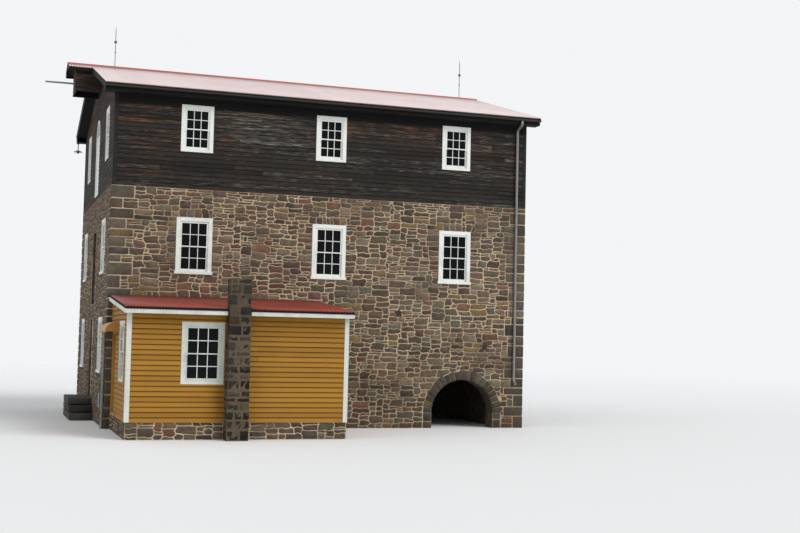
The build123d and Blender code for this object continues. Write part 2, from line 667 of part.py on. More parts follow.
def door_frame(width, height, y0):
    """Jambs and head with a stop on the outer side and hinge pins on the left, as one piece."""
    half = width / 2
    y1 = y0 + DOOR_FRAME_DEPTH
    leaf_y0 = y1 - DOOR_LEAF - DOOR_CLEARANCE
    clear = half - DOOR_FRAME
    frame = slab(-half, half, y0, y1, 0, height)
    frame -= slab(-clear, clear, leaf_y0, y1, 0, height - DOOR_FRAME)
    inner = clear - DOOR_STOP
    frame -= slab(-inner, inner, y0, leaf_y0, 0, height - DOOR_FRAME - DOOR_STOP)
    x_pin = -clear + DOOR_CLEARANCE / 2
    y_pin = y1 + HINGE_OFFSET
    arm = HINGE_KNUCKLE_RADIUS - 3.0
    leaf_height = height - DOOR_FRAME - DOOR_CLEARANCE - DOOR_FOOT_GAP
    for level in hinge_levels(leaf_height):
        z = DOOR_FOOT_GAP + level
        pin_top = z + HINGE_HEIGHT + 10.0
        frame += slab(-half + 10.0, x_pin, y_pin - arm, y_pin + arm, z - 15.0, z - SEAT_GAP)
        frame += slab(-half + 10.0, -clear - 20.0, y1, y_pin + arm, z - 15.0, z - SEAT_GAP)
        frame += Pos(x_pin, y_pin, z - 7.5 - SEAT_GAP / 2) * Cylinder(arm, 15.0 - SEAT_GAP)
        frame += Pos(x_pin, y_pin, (z - 15.0 + pin_top) / 2) * Cylinder(HINGE_PIN_RADIUS, pin_top - z + 15.0)
    return frame


def door_leaf(width, height, y0):
    """The hinged leaf with its ledges, strap hinges and pull, as one piece."""
    y1 = y0 + DOOR_FRAME_DEPTH
    clear = width / 2 - DOOR_FRAME
    x0, x1 = -clear + DOOR_CLEARANCE, clear - LATCH_CLEARANCE
    z0, z1 = DOOR_FOOT_GAP, height - DOOR_FRAME - DOOR_CLEARANCE
    leaf = slab(x0, x1, y1 - DOOR_LEAF, y1, z0, z1)
    x_pin = -clear + DOOR_CLEARANCE / 2
    y_pin = y1 + HINGE_OFFSET
    for level in hinge_levels(z1 - z0):
        z = z0 + level
        knuckle = Pos(x_pin, y_pin, z + HINGE_HEIGHT / 2) * Cylinder(HINGE_KNUCKLE_RADIUS, HINGE_HEIGHT)
        strap = slab(x_pin, x_pin + HINGE_STRAP, y1, y1 + 6.0, z, z + HINGE_HEIGHT)
        hole = HINGE_PIN_RADIUS + HINGE_PIN_PLAY
        leaf += knuckle + strap
        leaf -= Pos(x_pin, y_pin, z + HINGE_HEIGHT / 2) * Cylinder(hole, HINGE_HEIGHT)
    z_pull = z0 + (z1 - z0) * 0.5
    x_pull = x1 - 90.0
    for y, side in ((y1 - DOOR_LEAF, -1), (y1, 1)):
        bar = slab(x_pull - 9.0, x_pull + 9.0, min(y + side * 30.0, y + side * 42.0),
                   max(y + side * 30.0, y + side * 42.0), z_pull - 80.0, z_pull + 80.0)
        for z in (z_pull - 80.0, z_pull + 62.0):
            bar += slab(x_pull - 9.0, x_pull + 9.0, min(y, y + side * 30.0),
                        max(y, y + side * 30.0), z, z + 18.0)
        leaf += bar
    return leaf


def plank_door(width, height, y0, leaves):
    """A fixed boarded door: a frame and its leaves, which stay separate solids."""
    half = width / 2
    y1 = y0 + DOOR_FRAME_DEPTH
    clear = half - DOOR_FRAME
    frame = slab(-half, half, y0, y1, 0, height)
    frame -= slab(-clear, clear, y0, y1, DOOR_FRAME / 2, height - DOOR_FRAME)
    pieces = [frame]
    step = 2 * clear / leaves
    for i in range(leaves):
        x0 = -clear + i * step + SEAT_GAP
        x1 = -clear + (i + 1) * step - SEAT_GAP
        pieces.append(slab(x0, x1, y0 + 30.0, y0 + 30.0 + DOOR_LEAF,
                           DOOR_FRAME / 2 + SEAT_GAP, height - DOOR_FRAME - SEAT_GAP))
    return pieces


def arched_door():
    """The white loading door of the top storey: frame, two leaves and a half-round fanlight."""
    half = ARCHED_DOOR_WIDTH / 2
    spring = ARCHED_DOOR_SPRING
    y0, y1 = -FRAME_PROUD, FRAME_DEPTH - FRAME_PROUD
    bar = CASING / 2
    frame = arched_block(half, spring, 0, y0, y1)
    frame -= arched_block(half - CASING, spring - CASING, CASING, y0, y1)
    inner = half - CASING
    frame += slab(-inner, inner, y0, y1, spring - bar, spring)
    leaves = []
    y_leaf = y0 + 30.0
    for side in (-1, 1):
        xa, xb = sorted((side * SEAT_GAP, side * (inner - SEAT_GAP)))
        leaves.append(slab(xa, xb, y_leaf, y_leaf + DOOR_LEAF, CASING + SEAT_GAP,
                           spring - bar - SEAT_GAP))
    y_glass = y_leaf + DOOR_LEAF / 2
    light = inner - SEAT_GAP
    arc = ThreePointArc((-light, y_glass, spring), (0, y_glass, spring + light), (light, y_glass, spring))
    foot = Line((light, y_glass, spring), (-light, y_glass, spring))
    pane = extrude(make_face(arc + foot), amount=GLASS, dir=(0, 1, 0))
    return [frame] + leaves, [pane]


def doors():
    """The gable door that opens, the fixed loading doors above it, and their frames."""
    spot = WEST * Pos(0, 0, GROUND_FLOOR)
    width = GABLE_DOOR_OPENING[0]
    height = GABLE_DOOR_FRAME_HEIGHT
    panel = slab(-width / 2, width / 2, GABLE_DOOR_RECESS, GABLE_DOOR_RECESS + DOOR_FRAME_DEPTH,
                 height, GABLE_DOOR_OPENING[1])
    save("gable_door_frame", spot * (door_frame(width, height, GABLE_DOOR_RECESS) + panel))
    save("gable_door", spot * door_leaf(width, height, GABLE_DOOR_RECESS))
    pieces = plank_door(LOADING_DOOR[0], LOADING_DOOR[1], LOADING_DOOR_RECESS, 2)
    save("loading_door", *[WEST * Pos(0, 0, SECOND_FLOOR) * piece for piece in pieces])
    pieces, panes = arched_door()
    spot = WEST * Pos(0, TIMBER_INSET, THIRD_FLOOR + ARCHED_DOOR_SILL)
    save("arched_door", *[spot * piece for piece in pieces])
    return [spot * pane for pane in panes]


def windows():
    """All the windows of the main block; returns their panes."""
    panes = []
    sets = (("front_windows", FRONT, STONE_ROW, TOP_ROW),
            ("rear_windows", REAR, REAR_GROUND_ROW + STONE_ROW, TOP_ROW),
            ("west_windows", WEST, GABLE_GROUND_ROW + GABLE_SECOND_ROW, GABLE_TOP_ROW),
            ("east_windows", EAST, GABLE_GROUND_ROW + GABLE_SECOND_ROW, GABLE_TOP_ROW))
    for node, place, stone_rows, timber_rows in sets:
        wood, glass = hang_windows(stone_rows, place)
        top_wood, top_glass = hang_windows(timber_rows, place, TIMBER_INSET)
        save(node, *(wood + top_wood))
        panes += glass + top_glass
    return panes


# Steps

def steps():
    """The stone under the gable door, and the flight of steps with its landing."""
    door_half = GABLE_DOOR_OPENING[0] / 2
    riser = GROUND_FLOOR / STEP_RISERS
    sill = WEST * slab(-door_half, door_half, 0, STONE_WALL, 0, GROUND_FLOOR)
    save("gable_door_sill", sill)
    x0, x1 = X_WEST - STEP_REACH, X_WEST
    y_front = Y_RIDGE - door_half - LANDING_BEFORE_DOOR
    flight = slab(x0, x1, y_front, y_front + LANDING_LENGTH, 0, GROUND_FLOOR)
    for i in range(1, STEP_RISERS):
        y1 = y_front - (i - 1) * STEP_TREAD
        flight += slab(x0, x1, y1 - STEP_TREAD, y1, 0, GROUND_FLOOR - i * riser)
    save("entrance_steps", flight)


# Annex

def annex():
    """The clapboarded lean-to on its stone base, with its roof, door, windows and chimney."""
    w, e, f, b = ANNEX_WEST, ANNEX_EAST, ANNEX_FRONT, Y_FRONT
    t = ANNEX_WALL
    outer = slab(w, e, f, b, 0, ANNEX_BASE_TOP)
    base = outer - slab(w + ANNEX_BASE_WALL, e - ANNEX_BASE_WALL, f + ANNEX_BASE_WALL, b, 0, ANNEX_BASE_TOP)
    save("annex_base", base)
    save("annex_floor", slab(w + t, e - t, f + t, b, ANNEX_BASE_TOP, ANNEX_FLOOR))

    place = Pos(w, f, 0)
    side = Pos(w, f, 0) * Rot(0, 0, -90)
    window_x = ANNEX_WINDOW_FROM_WEST
    window_z = ANNEX_FLOOR + ANNEX_WINDOW_ABOVE_FLOOR
    side_z = ANNEX_FLOOR + SIDE_WINDOW_ABOVE_FLOOR
    outline = [(f, ANNEX_BASE_TOP), (f + t, ANNEX_BASE_TOP), (f + t, annex_under(f + t)), (f, annex_under(f))]
    front = along_x(outline, w, e) - opening(ANNEX_WINDOW, place, window_x, window_z, t)
    save("annex_front_wall", front)
    outline = [(f + t, ANNEX_BASE_TOP), (b, ANNEX_BASE_TOP), (b, annex_under(b)), (f + t, annex_under(f + t))]
    save("annex_east_wall", along_x(outline, e - t, e))
    door_width, door_height = ANNEX_DOOR_OPENING
    door_y = b - door_width
    door_top = ANNEX_BASE_TOP + door_height
    outline = [(f + t, ANNEX_BASE_TOP), (door_y, ANNEX_BASE_TOP), (door_y, annex_under(door_y)),
               (f + t, annex_under(f + t))]
    west = along_x(outline, w, w + t)
    west -= opening(SIDE_WINDOW, side, -SIDE_WINDOW_FROM_FRONT, side_z, t)
    save("annex_west_wall", west)
    outline = [(door_y, door_top), (b, door_top), (b, annex_under(b)), (door_y, annex_under(door_y))]
    save("annex_wall_over_door", along_x(outline, w, w + t))

    wood, panes = [], []
    for spot, size in ((place * Pos(window_x, 0, window_z), ANNEX_WINDOW),
                       (side * Pos(-SIDE_WINDOW_FROM_FRONT, 0, side_z), SIDE_WINDOW)):
        pieces, glass = window(size)
        wood += [spot * piece for piece in pieces]
        panes += [spot * piece for piece in glass]
    save("annex_windows", *wood)

    spot = Pos(w, b - door_width / 2, ANNEX_BASE_TOP) * Rot(0, 0, -90)
    frame_y0 = t - DOOR_FRAME_DEPTH
    door_sill = slab(-door_width / 2 + DOOR_FRAME, door_width / 2 - DOOR_FRAME, frame_y0, t, 0, FLOOR_DECK)
    raised = Pos(0, 0, FLOOR_DECK) * door_frame(door_width, door_height - FLOOR_DECK, frame_y0)
    feet = slab(-door_width / 2, door_width / 2, frame_y0, t, 0, FLOOR_DECK)
    save("annex_door_frame", spot * (raised + feet + door_sill))
    save("annex_door", spot * Pos(0, 0, FLOOR_DECK) * door_leaf(door_width, door_height - FLOOR_DECK, frame_y0))
    boards = annex_roof(w, e, f, b)
    chimney(w + CHIMNEY_FROM_WEST, f)
    door_hood(w, b)
    return panes, boards


def annex_roof(w, e, f, b):
    """Mono-pitch roof with fascia, rake boards and corner boards, open round the chimney."""
    x0, x1 = w - ANNEX_RAKE_WEST, e + ANNEX_RAKE_EAST
    y_eave = f - ANNEX_EAVE_OVERHANG
    outline = [(y_eave, annex_top(y_eave)), (b, annex_top(b)), (b, annex_under(b)), (y_eave, annex_under(y_eave))]
    chimney_x = w + CHIMNEY_FROM_WEST
    notch = slab(chimney_x - CHIMNEY_WIDTH / 2 - 5.0, chimney_x + CHIMNEY_WIDTH / 2 + 5.0,
                 y_eave, f, 0, CHIMNEY_HEIGHT)
    save("annex_roof", along_x(outline, x0, x1) - notch)
    y_board = y_eave + 15.0
    fascia = [(y_board, annex_under(y_board)), (y_board + BOARD, annex_under(y_board + BOARD)),
              (y_board + BOARD, annex_under(y_board) - ANNEX_FASCIA), (y_board, annex_under(y_board) - ANNEX_FASCIA)]
    trim = along_x(fascia, x0, x1)
    rake = [(y_board + BOARD, annex_under(y_board + BOARD)), (b, annex_under(b)),
            (b, annex_under(b) - ANNEX_FASCIA), (y_board + BOARD, annex_under(y_board + BOARD) - ANNEX_FASCIA)]
    trim += along_x(rake, x0, x0 + BOARD) + along_x(rake, x1 - BOARD, x1)
    z_soffit = annex_under(y_board) - ANNEX_FASCIA
    trim += slab(x0 + BOARD, x1 - BOARD, y_board + BOARD, f, z_soffit, z_soffit + BOARD)
    save("annex_roof_boards", trim - notch)
    boards = []
    for x, sx in ((w, -1), (e, 1)):
        x_out, x_in = x + sx * BOARD, x + sx * BOARD - sx * ANNEX_CORNER_BOARD
        post = slab(min(x_out, x_in), max(x_out, x_in), f - BOARD, f - BOARD + ANNEX_CORNER_BOARD,
                    ANNEX_BASE_TOP, z_soffit)
        post -= slab(min(x, x_in), max(x, x_in), f, f - BOARD + ANNEX_CORNER_BOARD, ANNEX_BASE_TOP, z_soffit)
        boards.append(post)
    return boards


def chimney(x, f):
    """A tapered stone stack against the annex front, with an open flue."""
    low, high = CHIMNEY_WIDTH / 2, CHIMNEY_TOP_WIDTH / 2
    outline = [(x - low, 0), (x + low, 0), (x + high, CHIMNEY_HEIGHT), (x - high, CHIMNEY_HEIGHT)]
    stack = along_y(outline, f - CHIMNEY_PROJECTION, f)
    flue = high - CHIMNEY_WALL
    stack -= slab(x - flue, x + flue, f - CHIMNEY_PROJECTION + CHIMNEY_WALL, f - CHIMNEY_WALL,
                  FLUE_FLOOR, CHIMNEY_HEIGHT)
    save("annex_chimney", stack)


def door_hood(w, b):
    """A bowed hood of boards over the annex door, closed at its two ends."""
    z = ANNEX_FLOOR + DOOR_HOOD_TOP
    y0, y1 = b - DOOR_HOOD_WIDTH - 60.0, b - 60.0

    def quarter(reach, drop):
        return [(w - reach * sin(a), z - drop * (1 - cos(a))) for a in [radians(15 * i) for i in range(7)]]

    outer = quarter(HOOD_PROJECTION, HOOD_DROP)
    inner = quarter(HOOD_PROJECTION - BOARD, HOOD_DROP)
    sheet = outer + [(x, z_low - BOARD) for x, z_low in reversed(inner)]
    shell = along_y(sheet, y0, y1)
    cheek = outer + [(w, z - HOOD_DROP)]
    shell += along_y(cheek, y0, y0 + BOARD) + along_y(cheek, y1 - BOARD, y1)
    save("annex_door_hood", shell)


# Small fittings

def lightning_rods():
    """Two rods on the ridge with a foot, a collar, a ball and a pointed tip."""
    rods = []
    z0 = RIDGE_Z + RIDGE_CAP_THICKNESS
    for x in (X_WEST + ROD_FROM_WEST, X_EAST - ROD_FROM_EAST):
        profile = Polyline((0, z0), (60, z0), (60, z0 + 12), (ROD_RADIUS, z0 + 60),
                           (ROD_RADIUS, z0 + ROD_HEIGHT - 160), (0, z0 + ROD_HEIGHT), close=True)
        rod = revolve(Plane.XZ * make_face(profile), axis=Axis.Z)
        rod += Pos(0, 0, z0 + ROD_BALL_HEIGHT) * Sphere(ROD_BALL_RADIUS)
        rod += Pos(0, 0, z0 + ROD_BALL_HEIGHT * 0.6) * Cylinder(2 * ROD_RADIUS, 30)
        rods.append(Pos(x, Y_RIDGE, 0) * rod)
    save("lightning_rods", *rods)


def wall_anchors():
    """Star-shaped iron anchor plates of the floor ties on the front wall."""
    stars = []
    for x, z in ANCHORS:
        points = []
        for i in range(10):
            reach = ANCHOR_RADIUS if i % 2 == 0 else ANCHOR_RADIUS * 0.42
            turn = radians(90 + 36 * i)
            points.append((reach * cos(turn), reach * sin(turn)))
        star = along_y(points, -ANCHOR_THICKNESS, 0)
        star += Pos(0, -ANCHOR_THICKNESS, 0) * Rot(90, 0, 0) * Cylinder(0.2 * ANCHOR_RADIUS, ANCHOR_THICKNESS)
        stars.append(Pos(X_WEST + x, Y_FRONT, z) * star)
    save("wall_anchors", *stars)


def corner_pipe():
    """A pipe with clips and a small box at the south end of the west gable."""
    x, y = X_WEST - PIPE_RADIUS - 12.0, Y_FRONT + 90.0
    pipe = Pos(x, y, PIPE_TOP / 2) * Cylinder(PIPE_RADIUS, PIPE_TOP)
    for i in range(7):
        z = 250.0 + 370.0 * i
        pipe += slab(x - PIPE_RADIUS - 4, X_WEST, y - PIPE_RADIUS - 18, y + PIPE_RADIUS + 18, z, z + 30)
    box = slab(X_WEST - 110, X_WEST, Y_FRONT + 420, Y_FRONT + 720, 560, 960)
    save("corner_pipe", pipe, box)


def eave_lamp():
    """A disc-shaded lamp under the far end of the west eave."""
    x = X_WEST - RAKE_OVERHANG + 60.0
    y = Y_REAR + EAVE_OVERHANG - FASCIA_SETBACK - 60.0
    z1 = FASCIA_BOTTOM
    z0 = z1 - LAMP_STEM
    lamp = Pos(x, y, (z0 + z1) / 2) * Cylinder(16, LAMP_STEM)
    lamp += Pos(x, y, z1 - 12) * Cylinder(45, 24)
    lamp += Pos(x, y, z0 - 30) * Cone(LAMP_DISC_RADIUS, 50, 60)
    lamp += Pos(x, y, z0 - 85) * Cylinder(38, 50)
    save("eave_lamp", lamp)


os.makedirs("parts", exist_ok=True)
stone_walls()
timber_storey()
floors()
roof()
hoist_hood()
eave_boards()
bargeboards()
rainwater()
annex_panes, annex_boards = annex()
save("window_glass", *(windows() + doors() + annex_panes))
save("corner_boards", *(corner_boards() + annex_boards))
steps()
lightning_rods()
wall_anchors()
corner_pipe()
eave_lamp()
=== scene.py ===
import math
import random
from itertools import product

import bpy
import numpy as np
from mathutils import Matrix, Vector


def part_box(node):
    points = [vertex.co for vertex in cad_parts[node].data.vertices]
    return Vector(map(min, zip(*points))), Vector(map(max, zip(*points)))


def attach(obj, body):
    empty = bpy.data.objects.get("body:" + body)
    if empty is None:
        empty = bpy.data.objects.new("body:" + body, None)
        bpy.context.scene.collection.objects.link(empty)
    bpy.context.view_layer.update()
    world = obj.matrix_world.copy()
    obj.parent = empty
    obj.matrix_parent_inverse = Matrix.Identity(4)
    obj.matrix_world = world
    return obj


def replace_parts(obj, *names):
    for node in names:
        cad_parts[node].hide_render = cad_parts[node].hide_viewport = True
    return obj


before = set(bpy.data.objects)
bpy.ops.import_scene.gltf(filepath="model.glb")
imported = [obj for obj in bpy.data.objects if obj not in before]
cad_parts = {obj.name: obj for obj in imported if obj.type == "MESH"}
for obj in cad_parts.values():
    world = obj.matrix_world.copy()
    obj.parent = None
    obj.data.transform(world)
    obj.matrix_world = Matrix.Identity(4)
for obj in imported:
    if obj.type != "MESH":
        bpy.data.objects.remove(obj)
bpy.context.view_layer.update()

# Levels and faces of the building, read from the frame
FRONT_LOW, FRONT_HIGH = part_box("front_wall_lower")
ROOF_LOW, ROOF_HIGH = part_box("roof_front_slope")
X_WEST, X_EAST = FRONT_LOW.x, FRONT_HIGH.x
Y_FRONT, Y_REAR = FRONT_LOW.y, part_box("rear_wall_lower")[1].y
Y_RIDGE, RIDGE_Z = (Y_FRONT + Y_REAR) / 2, ROOF_HIGH.z
STONE_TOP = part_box("front_wall_upper")[1].z
STONE_WALL = FRONT_HIGH.y - FRONT_LOW.y
TIMBER_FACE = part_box("timber_wall_front")[0].y - Y_FRONT
SOFFIT_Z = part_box("corner_boards")[1].z
ROOF_THICK, ANNEX_ROOF_THICK = 0.047, 0.045
ROOF_RUN = Y_RIDGE - ROOF_LOW.y
ROOF_SLOPE = (RIDGE_Z - ROOF_LOW.z - ROOF_THICK) / ROOF_RUN

# Camera, solved from the photograph: lens in mm, angles in degrees, place from the building's corner
CAMERA_LENS, CAMERA_SENSOR, CAMERA_REACH = 55.35, 36.0, 300.0
CAMERA_FROM_CORNER = (-3.377, -35.0, 2.65)
CAMERA_YAW, CAMERA_PITCH, CAMERA_ROLL = 18.831, 3.389, 1.262


def make_camera():
    """The photograph's viewpoint."""
    yaw, pitch, roll = (math.radians(a) for a in (CAMERA_YAW, CAMERA_PITCH, CAMERA_ROLL))
    ahead = Vector((math.sin(yaw) * math.cos(pitch), math.cos(yaw) * math.cos(pitch), math.sin(pitch)))
    level = Vector((math.cos(yaw), -math.sin(yaw), 0))
    upright = level.cross(ahead)
    right = math.cos(roll) * level + math.sin(roll) * upright
    up = math.cos(roll) * upright - math.sin(roll) * level
    data = bpy.data.cameras.new("camera")
    data.lens, data.sensor_width, data.clip_end = CAMERA_LENS, CAMERA_SENSOR, CAMERA_REACH
    camera = bpy.data.objects.new("camera", data)
    bpy.context.scene.collection.objects.link(camera)
    place = Vector((X_WEST, Y_FRONT, 0)) + Vector(CAMERA_FROM_CORNER)
    camera.matrix_world = Matrix.Translation(place) @ Matrix((right, up, -ahead)).transposed().to_4x4()
    bpy.context.scene.camera = camera


# Mesh building

class Pile:
    """Gathers many small closed shapes into one mesh, with a tint and a grain for each point."""

    def __init__(self):
        self.points, self.faces, self.tints, self.grains = [], [], [], []

    def add(self, points, faces, tint=(0.5, 0.5, 0.5), grain=None, shares=None):
        """Adds a closed shape; a tint is one for all points or a list, and shares are for its material."""
        start = len(self.points)
        self.points += [tuple(p) for p in points]
        self.faces += [tuple(start + i for i in face) for face in faces]
        tints = tint if isinstance(tint, list) else [tint] * len(points)
        self.tints += [(*t, s) for t, s in zip(tints, shares or [0.0] * len(points))]
        self.grains += [tuple(g) for g in (grain or points)]

    def make(self, name, material, slot, smooth=False):
        mesh = bpy.data.meshes.new(name)
        mesh.from_pydata(self.points, [], self.faces)
        for key, kind, field, values in (("tint", "FLOAT_COLOR", "color", self.tints),
                                         ("grain", "FLOAT_VECTOR", "vector", self.grains)):
            attribute = mesh.attributes.new(key, kind, "POINT")
            attribute.data.foreach_set(field, np.array(values, np.float32).ravel())
        mesh.polygons.foreach_set("use_smooth", [smooth] * len(mesh.polygons))
        mesh.materials.append(material)
        mesh.validate()
        mesh.update()
        piece = bpy.data.objects.new(name, mesh)
        bpy.context.scene.collection.objects.link(piece)
        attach(piece, "mill")
        return piece


def random_tint(rng):
    return (rng.random(), rng.random(), rng.random())


def stretches(rng, start, end, lengths, least):
    """Splits a stretch into uneven pieces; the last one takes up a rest that would be too short."""
    while start < end - 0.01:
        stop = start + rng.uniform(*lengths)
        if end - stop < least:
            stop = end
        yield start, stop
        start = stop


def turned(face, over=True):
    """A face as a tuple, with its order turned over if asked."""
    return tuple(reversed(face)) if over else tuple(face)


def prism_faces(n):
    """Faces of a prism whose points are a front outline and then a back one, of n points each."""
    sides = [(i, i + n, (i + 1) % n + n, (i + 1) % n) for i in range(n)]
    return [tuple(range(n)), turned(range(n, 2 * n))] + sides


def cube_key(axis, along, i, j):
    """A grid place that is along on one axis, and i and j on the other two."""
    key = [i, j]
    key.insert(axis, along)
    return tuple(key)


SQUARE = ((0, 0), (1, 0), (1, 1), (0, 1))


def shell(counts, index):
    """Outer faces of a grid of points; index gives a point from its place and the face's axis."""
    faces = []
    for axis in range(3):
        a, b = [x for x in range(3) if x != axis]
        for side, i, j in product((0, counts[axis] - 1), range(counts[a] - 1), range(counts[b] - 1)):
            loop = [index(cube_key(axis, side, i + di, j + dj), axis) for di, dj in SQUARE]
            faces.append(turned(loop, (side == 0) != (axis == 1)))
    return faces


def chamfered_box(pile, low, high, chamfer):
    """A box between two corners, its edges chamfered."""
    chamfer = min(chamfer, 0.45 * min(high - low))
    corners = list(product((0, 1), repeat=3))
    points, index = [], {}
    for corner, axis in product(corners, range(3)):
        shift = np.where(np.array(corner) == 0, 1.0, -1.0) * chamfer
        shift[axis] = 0
        index[corner, axis] = len(points)
        points.append(low + (high - low) * np.array(corner) + shift)
    faces = shell((2, 2, 2), lambda key, axis: index[key, axis])
    for axis, i, j in product(range(3), (0, 1), (0, 1)):
        a, b = [x for x in range(3) if x != axis]
        foot, head = cube_key(axis, 0, i, j), cube_key(axis, 1, i, j)
        faces.append(turned((index[foot, a], index[head, a], index[head, b], index[foot, b]),
                            (i == j) != (axis == 1)))
    for corner in corners:
        faces.append(turned([index[corner, axis] for axis in range(3)], sum(corner) % 2 == 0))
    pile.add(points, faces)


def lattice(count, edge):
    """Steps from 0 to 1 with a narrow first and last one."""
    inner = [edge + (1 - 2 * edge) * i / (count - 2) for i in range(count - 1)]
    return [0.0] + inner + [1.0]


EDGE_EASE = {1: 0.0, 2: 0.30, 3: 0.42}


def rough_block(pile, place, size, rng, bevel, noise, cells=(4, 4, 4), tint=None):
    """A hewn stone: a unit cube with eased, uneven edges, put in place by a function."""
    steps = [lattice(cells[a], min(0.3, bevel / size[a])) for a in range(3)]
    counts = [len(s) for s in steps]
    index, points = {}, []
    for key in product(*(range(c) for c in counts)):
        on = [v in (0, c - 1) for v, c in zip(key, counts)]
        if not any(on):
            continue
        unit = np.array([steps[axis][key[axis]] for axis in range(3)])
        for axis in range(3):
            shake = rng.uniform(-noise, noise)
            if on[axis]:
                inward = 1 if unit[axis] == 0 else -1
                unit[axis] += inward * (EDGE_EASE[sum(on)] * bevel + shake + noise) / size[axis]
            else:
                unit[axis] += shake * 0.6 / size[axis]
        index[key] = len(points)
        points.append(unit)
    faces = shell(counts, lambda key, axis: index[key])
    pile.add([place(*unit) for unit in points], faces, tint or random_tint(rng))


def between(low, high):
    """Places a unit cube between two corners."""
    low, high = np.array(low, float), np.array(high, float)
    return lambda x, y, z: low + (high - low) * np.array((x, y, z))


def half_hoop(pile, place, section, slices, over=False):
    """A half ring; place turns a point across, up and out, and section holds radii and distances out."""
    points, faces = [], []
    for i in range(slices + 1):
        angle = math.pi * i / slices
        points += [place(r * math.cos(angle), r * math.sin(angle), w) for r, w in section]
    for i, j in product(range(slices), range(4)):
        a, b = 4 * i + j, 4 * i + (j + 1) % 4
        faces.append(turned((a, b, b + 4, a + 4), over))
    faces += [turned((3, 2, 1, 0), over), turned([4 * slices + j for j in range(4)], over)]
    pile.add(points, faces)


def pairs(polygon):
    """Each point of a closed outline with the one after it."""
    return zip(polygon, polygon[1:] + polygon[:1])


def clip(polygon, a, b, c):
    """Keeps the part of a flat polygon where a*u + b*v <= c."""
    kept = []
    for (u0, v0), (u1, v1) in pairs(polygon):
        d0, d1 = a * u0 + b * v0 - c, a * u1 + b * v1 - c
        if d0 <= 0:
            kept.append((u0, v0))
        if (d0 < 0 < d1) or (d1 < 0 < d0):
            t = d0 / (d0 - d1)
            kept.append((u0 + t * (u1 - u0), v0 + t * (v1 - v0)))
    return kept


def area(polygon):
    return sum(u0 * v1 - u1 * v0 for (u0, v0), (u1, v1) in pairs(polygon)) / 2


def clear_of_holes(polygon, holes, discs):
    """Cuts a polygon back from rectangular holes, and from the upper half of round ones."""
    for ua, ub, va, vb in holes:
        us, vs = zip(*polygon)
        if min(us) >= ub or max(us) <= ua or min(vs) >= vb or max(vs) <= va:
            continue
        sides = (clip(polygon, 1, 0, ua), clip(polygon, -1, 0, -ub),
                 clip(polygon, 0, 1, va), clip(polygon, 0, -1, -vb))
        polygon = max(sides, key=lambda p: area(p) if len(p) > 2 else 0.0)
        if len(polygon) < 3:
            return []
    for uc, vc, radius in discs:
        cu = sum(p[0] for p in polygon) / len(polygon) - uc
        cv = sum(p[1] for p in polygon) / len(polygon) - vc
        nearest = min(math.hypot(u - uc, v - vc) for u, v in polygon)
        if cv < 0 or nearest >= radius * 1.02:
            continue
        gap = math.hypot(cu, cv)
        du, dv = cu / gap, cv / gap
        polygon = clip(polygon, -du, -dv, -(du * uc + dv * vc + radius))
        if gap < radius * 0.9 or len(polygon) < 3:
            return []
    return polygon


# Rubble masonry: a lattice of small cells, and stones over them as cells wide, cells high and how often

CELL_U, CELL_V = 0.105, 0.0723
STONE_SHAPES = ((1, 1, 1), (2, 1, 4), (3, 1, 5), (4, 1, 2), (1, 2, 1), (2, 2, 5), (3, 2, 8), (4, 2, 6),
                (5, 2, 2), (3, 3, 3), (4, 3, 3), (5, 3, 1))
HALF_JOINT = (0.006, 0.013)
STONE_PROUD = 0.017


def inset(outline, distance):
    """Moves an outline inwards by a distance."""
    moved = []
    for i, (u, v) in enumerate(outline):
        (up, vp), (un, vn) = outline[i - 1], outline[(i + 1) % len(outline)]
        before, after = math.hypot(u - up, v - vp) or 1e-9, math.hypot(un - u, vn - v) or 1e-9
        au, av = -(v - vp) / before, (u - up) / before
        mu, mv = au - (vn - v) / after, av + (un - u) / after
        size = math.hypot(mu, mv) or 1.0
        mu, mv = mu / size, mv / size
        reach = distance / max(0.5, mu * au + mv * av)
        moved.append((u + mu * reach, v + mv * reach))
    return moved


def stone_outline(points, cells, rng):
    """The outline of a stone over some cells of the lattice, less half a joint and its corners."""
    c0, c1, r0, r1 = cells
    ring = [(c, r0) for c in range(c0, c1)] + [(c1, r) for r in range(r0, r1)]
    ring += [(c, r1) for c in range(c1, c0, -1)] + [(c0, r) for r in range(r1, r0, -1)]
    outline = inset([points[key] for key in ring], rng.uniform(*HALF_JOINT))
    corners = (0, c1 - c0, c1 - c0 + r1 - r0, 2 * (c1 - c0) + r1 - r0)
    eased = []
    for i, (u, v) in enumerate(outline):
        if i not in corners:
            eased.append((u, v))
            continue
        cut = rng.uniform(0.008, 0.036)
        for un, vn in (outline[i - 1], outline[(i + 1) % len(outline)]):
            share = min(0.42, cut * rng.uniform(0.6, 1.3) / (math.hypot(un - u, vn - v) or 1.0))
            eased.append((u + (un - u) * share, v + (vn - v) * share))
    return eased


def take(taken, r, c, high, wide):
    """Marks a block of cells as taken."""
    for i, j in product(range(high), range(wide)):
        taken[r + i][c + j] = True


def pack_stones(columns, rows, taken, rng):
    """Fills the free cells of a grid with stones of mixed sizes."""
    shapes = [shape[:2] for shape in STONE_SHAPES for _ in range(shape[2])]
    stones = []
    for r in range(rows):
        c = 0
        while c < columns:
            if taken[r][c]:
                c += 1
                continue
            free = 1
            while c + free < columns and not taken[r][c + free]:
                free += 1
            wide, high = rng.choice(shapes)
            wide = min(wide, free)
            if free - wide == 1:
                wide = free if free < 6 else wide - 1 if wide > 2 else wide
            if wide == 1:
                high = max(2, high)
            high = min(high, rows - r)
            while high > 1 and any(taken[r + i][c + j] for i in range(high) for j in range(wide)):
                high -= 1
            take(taken, r, c, high, wide)
            stones.append((c, c + wide, r, r + high))
            c += wide
    return stones


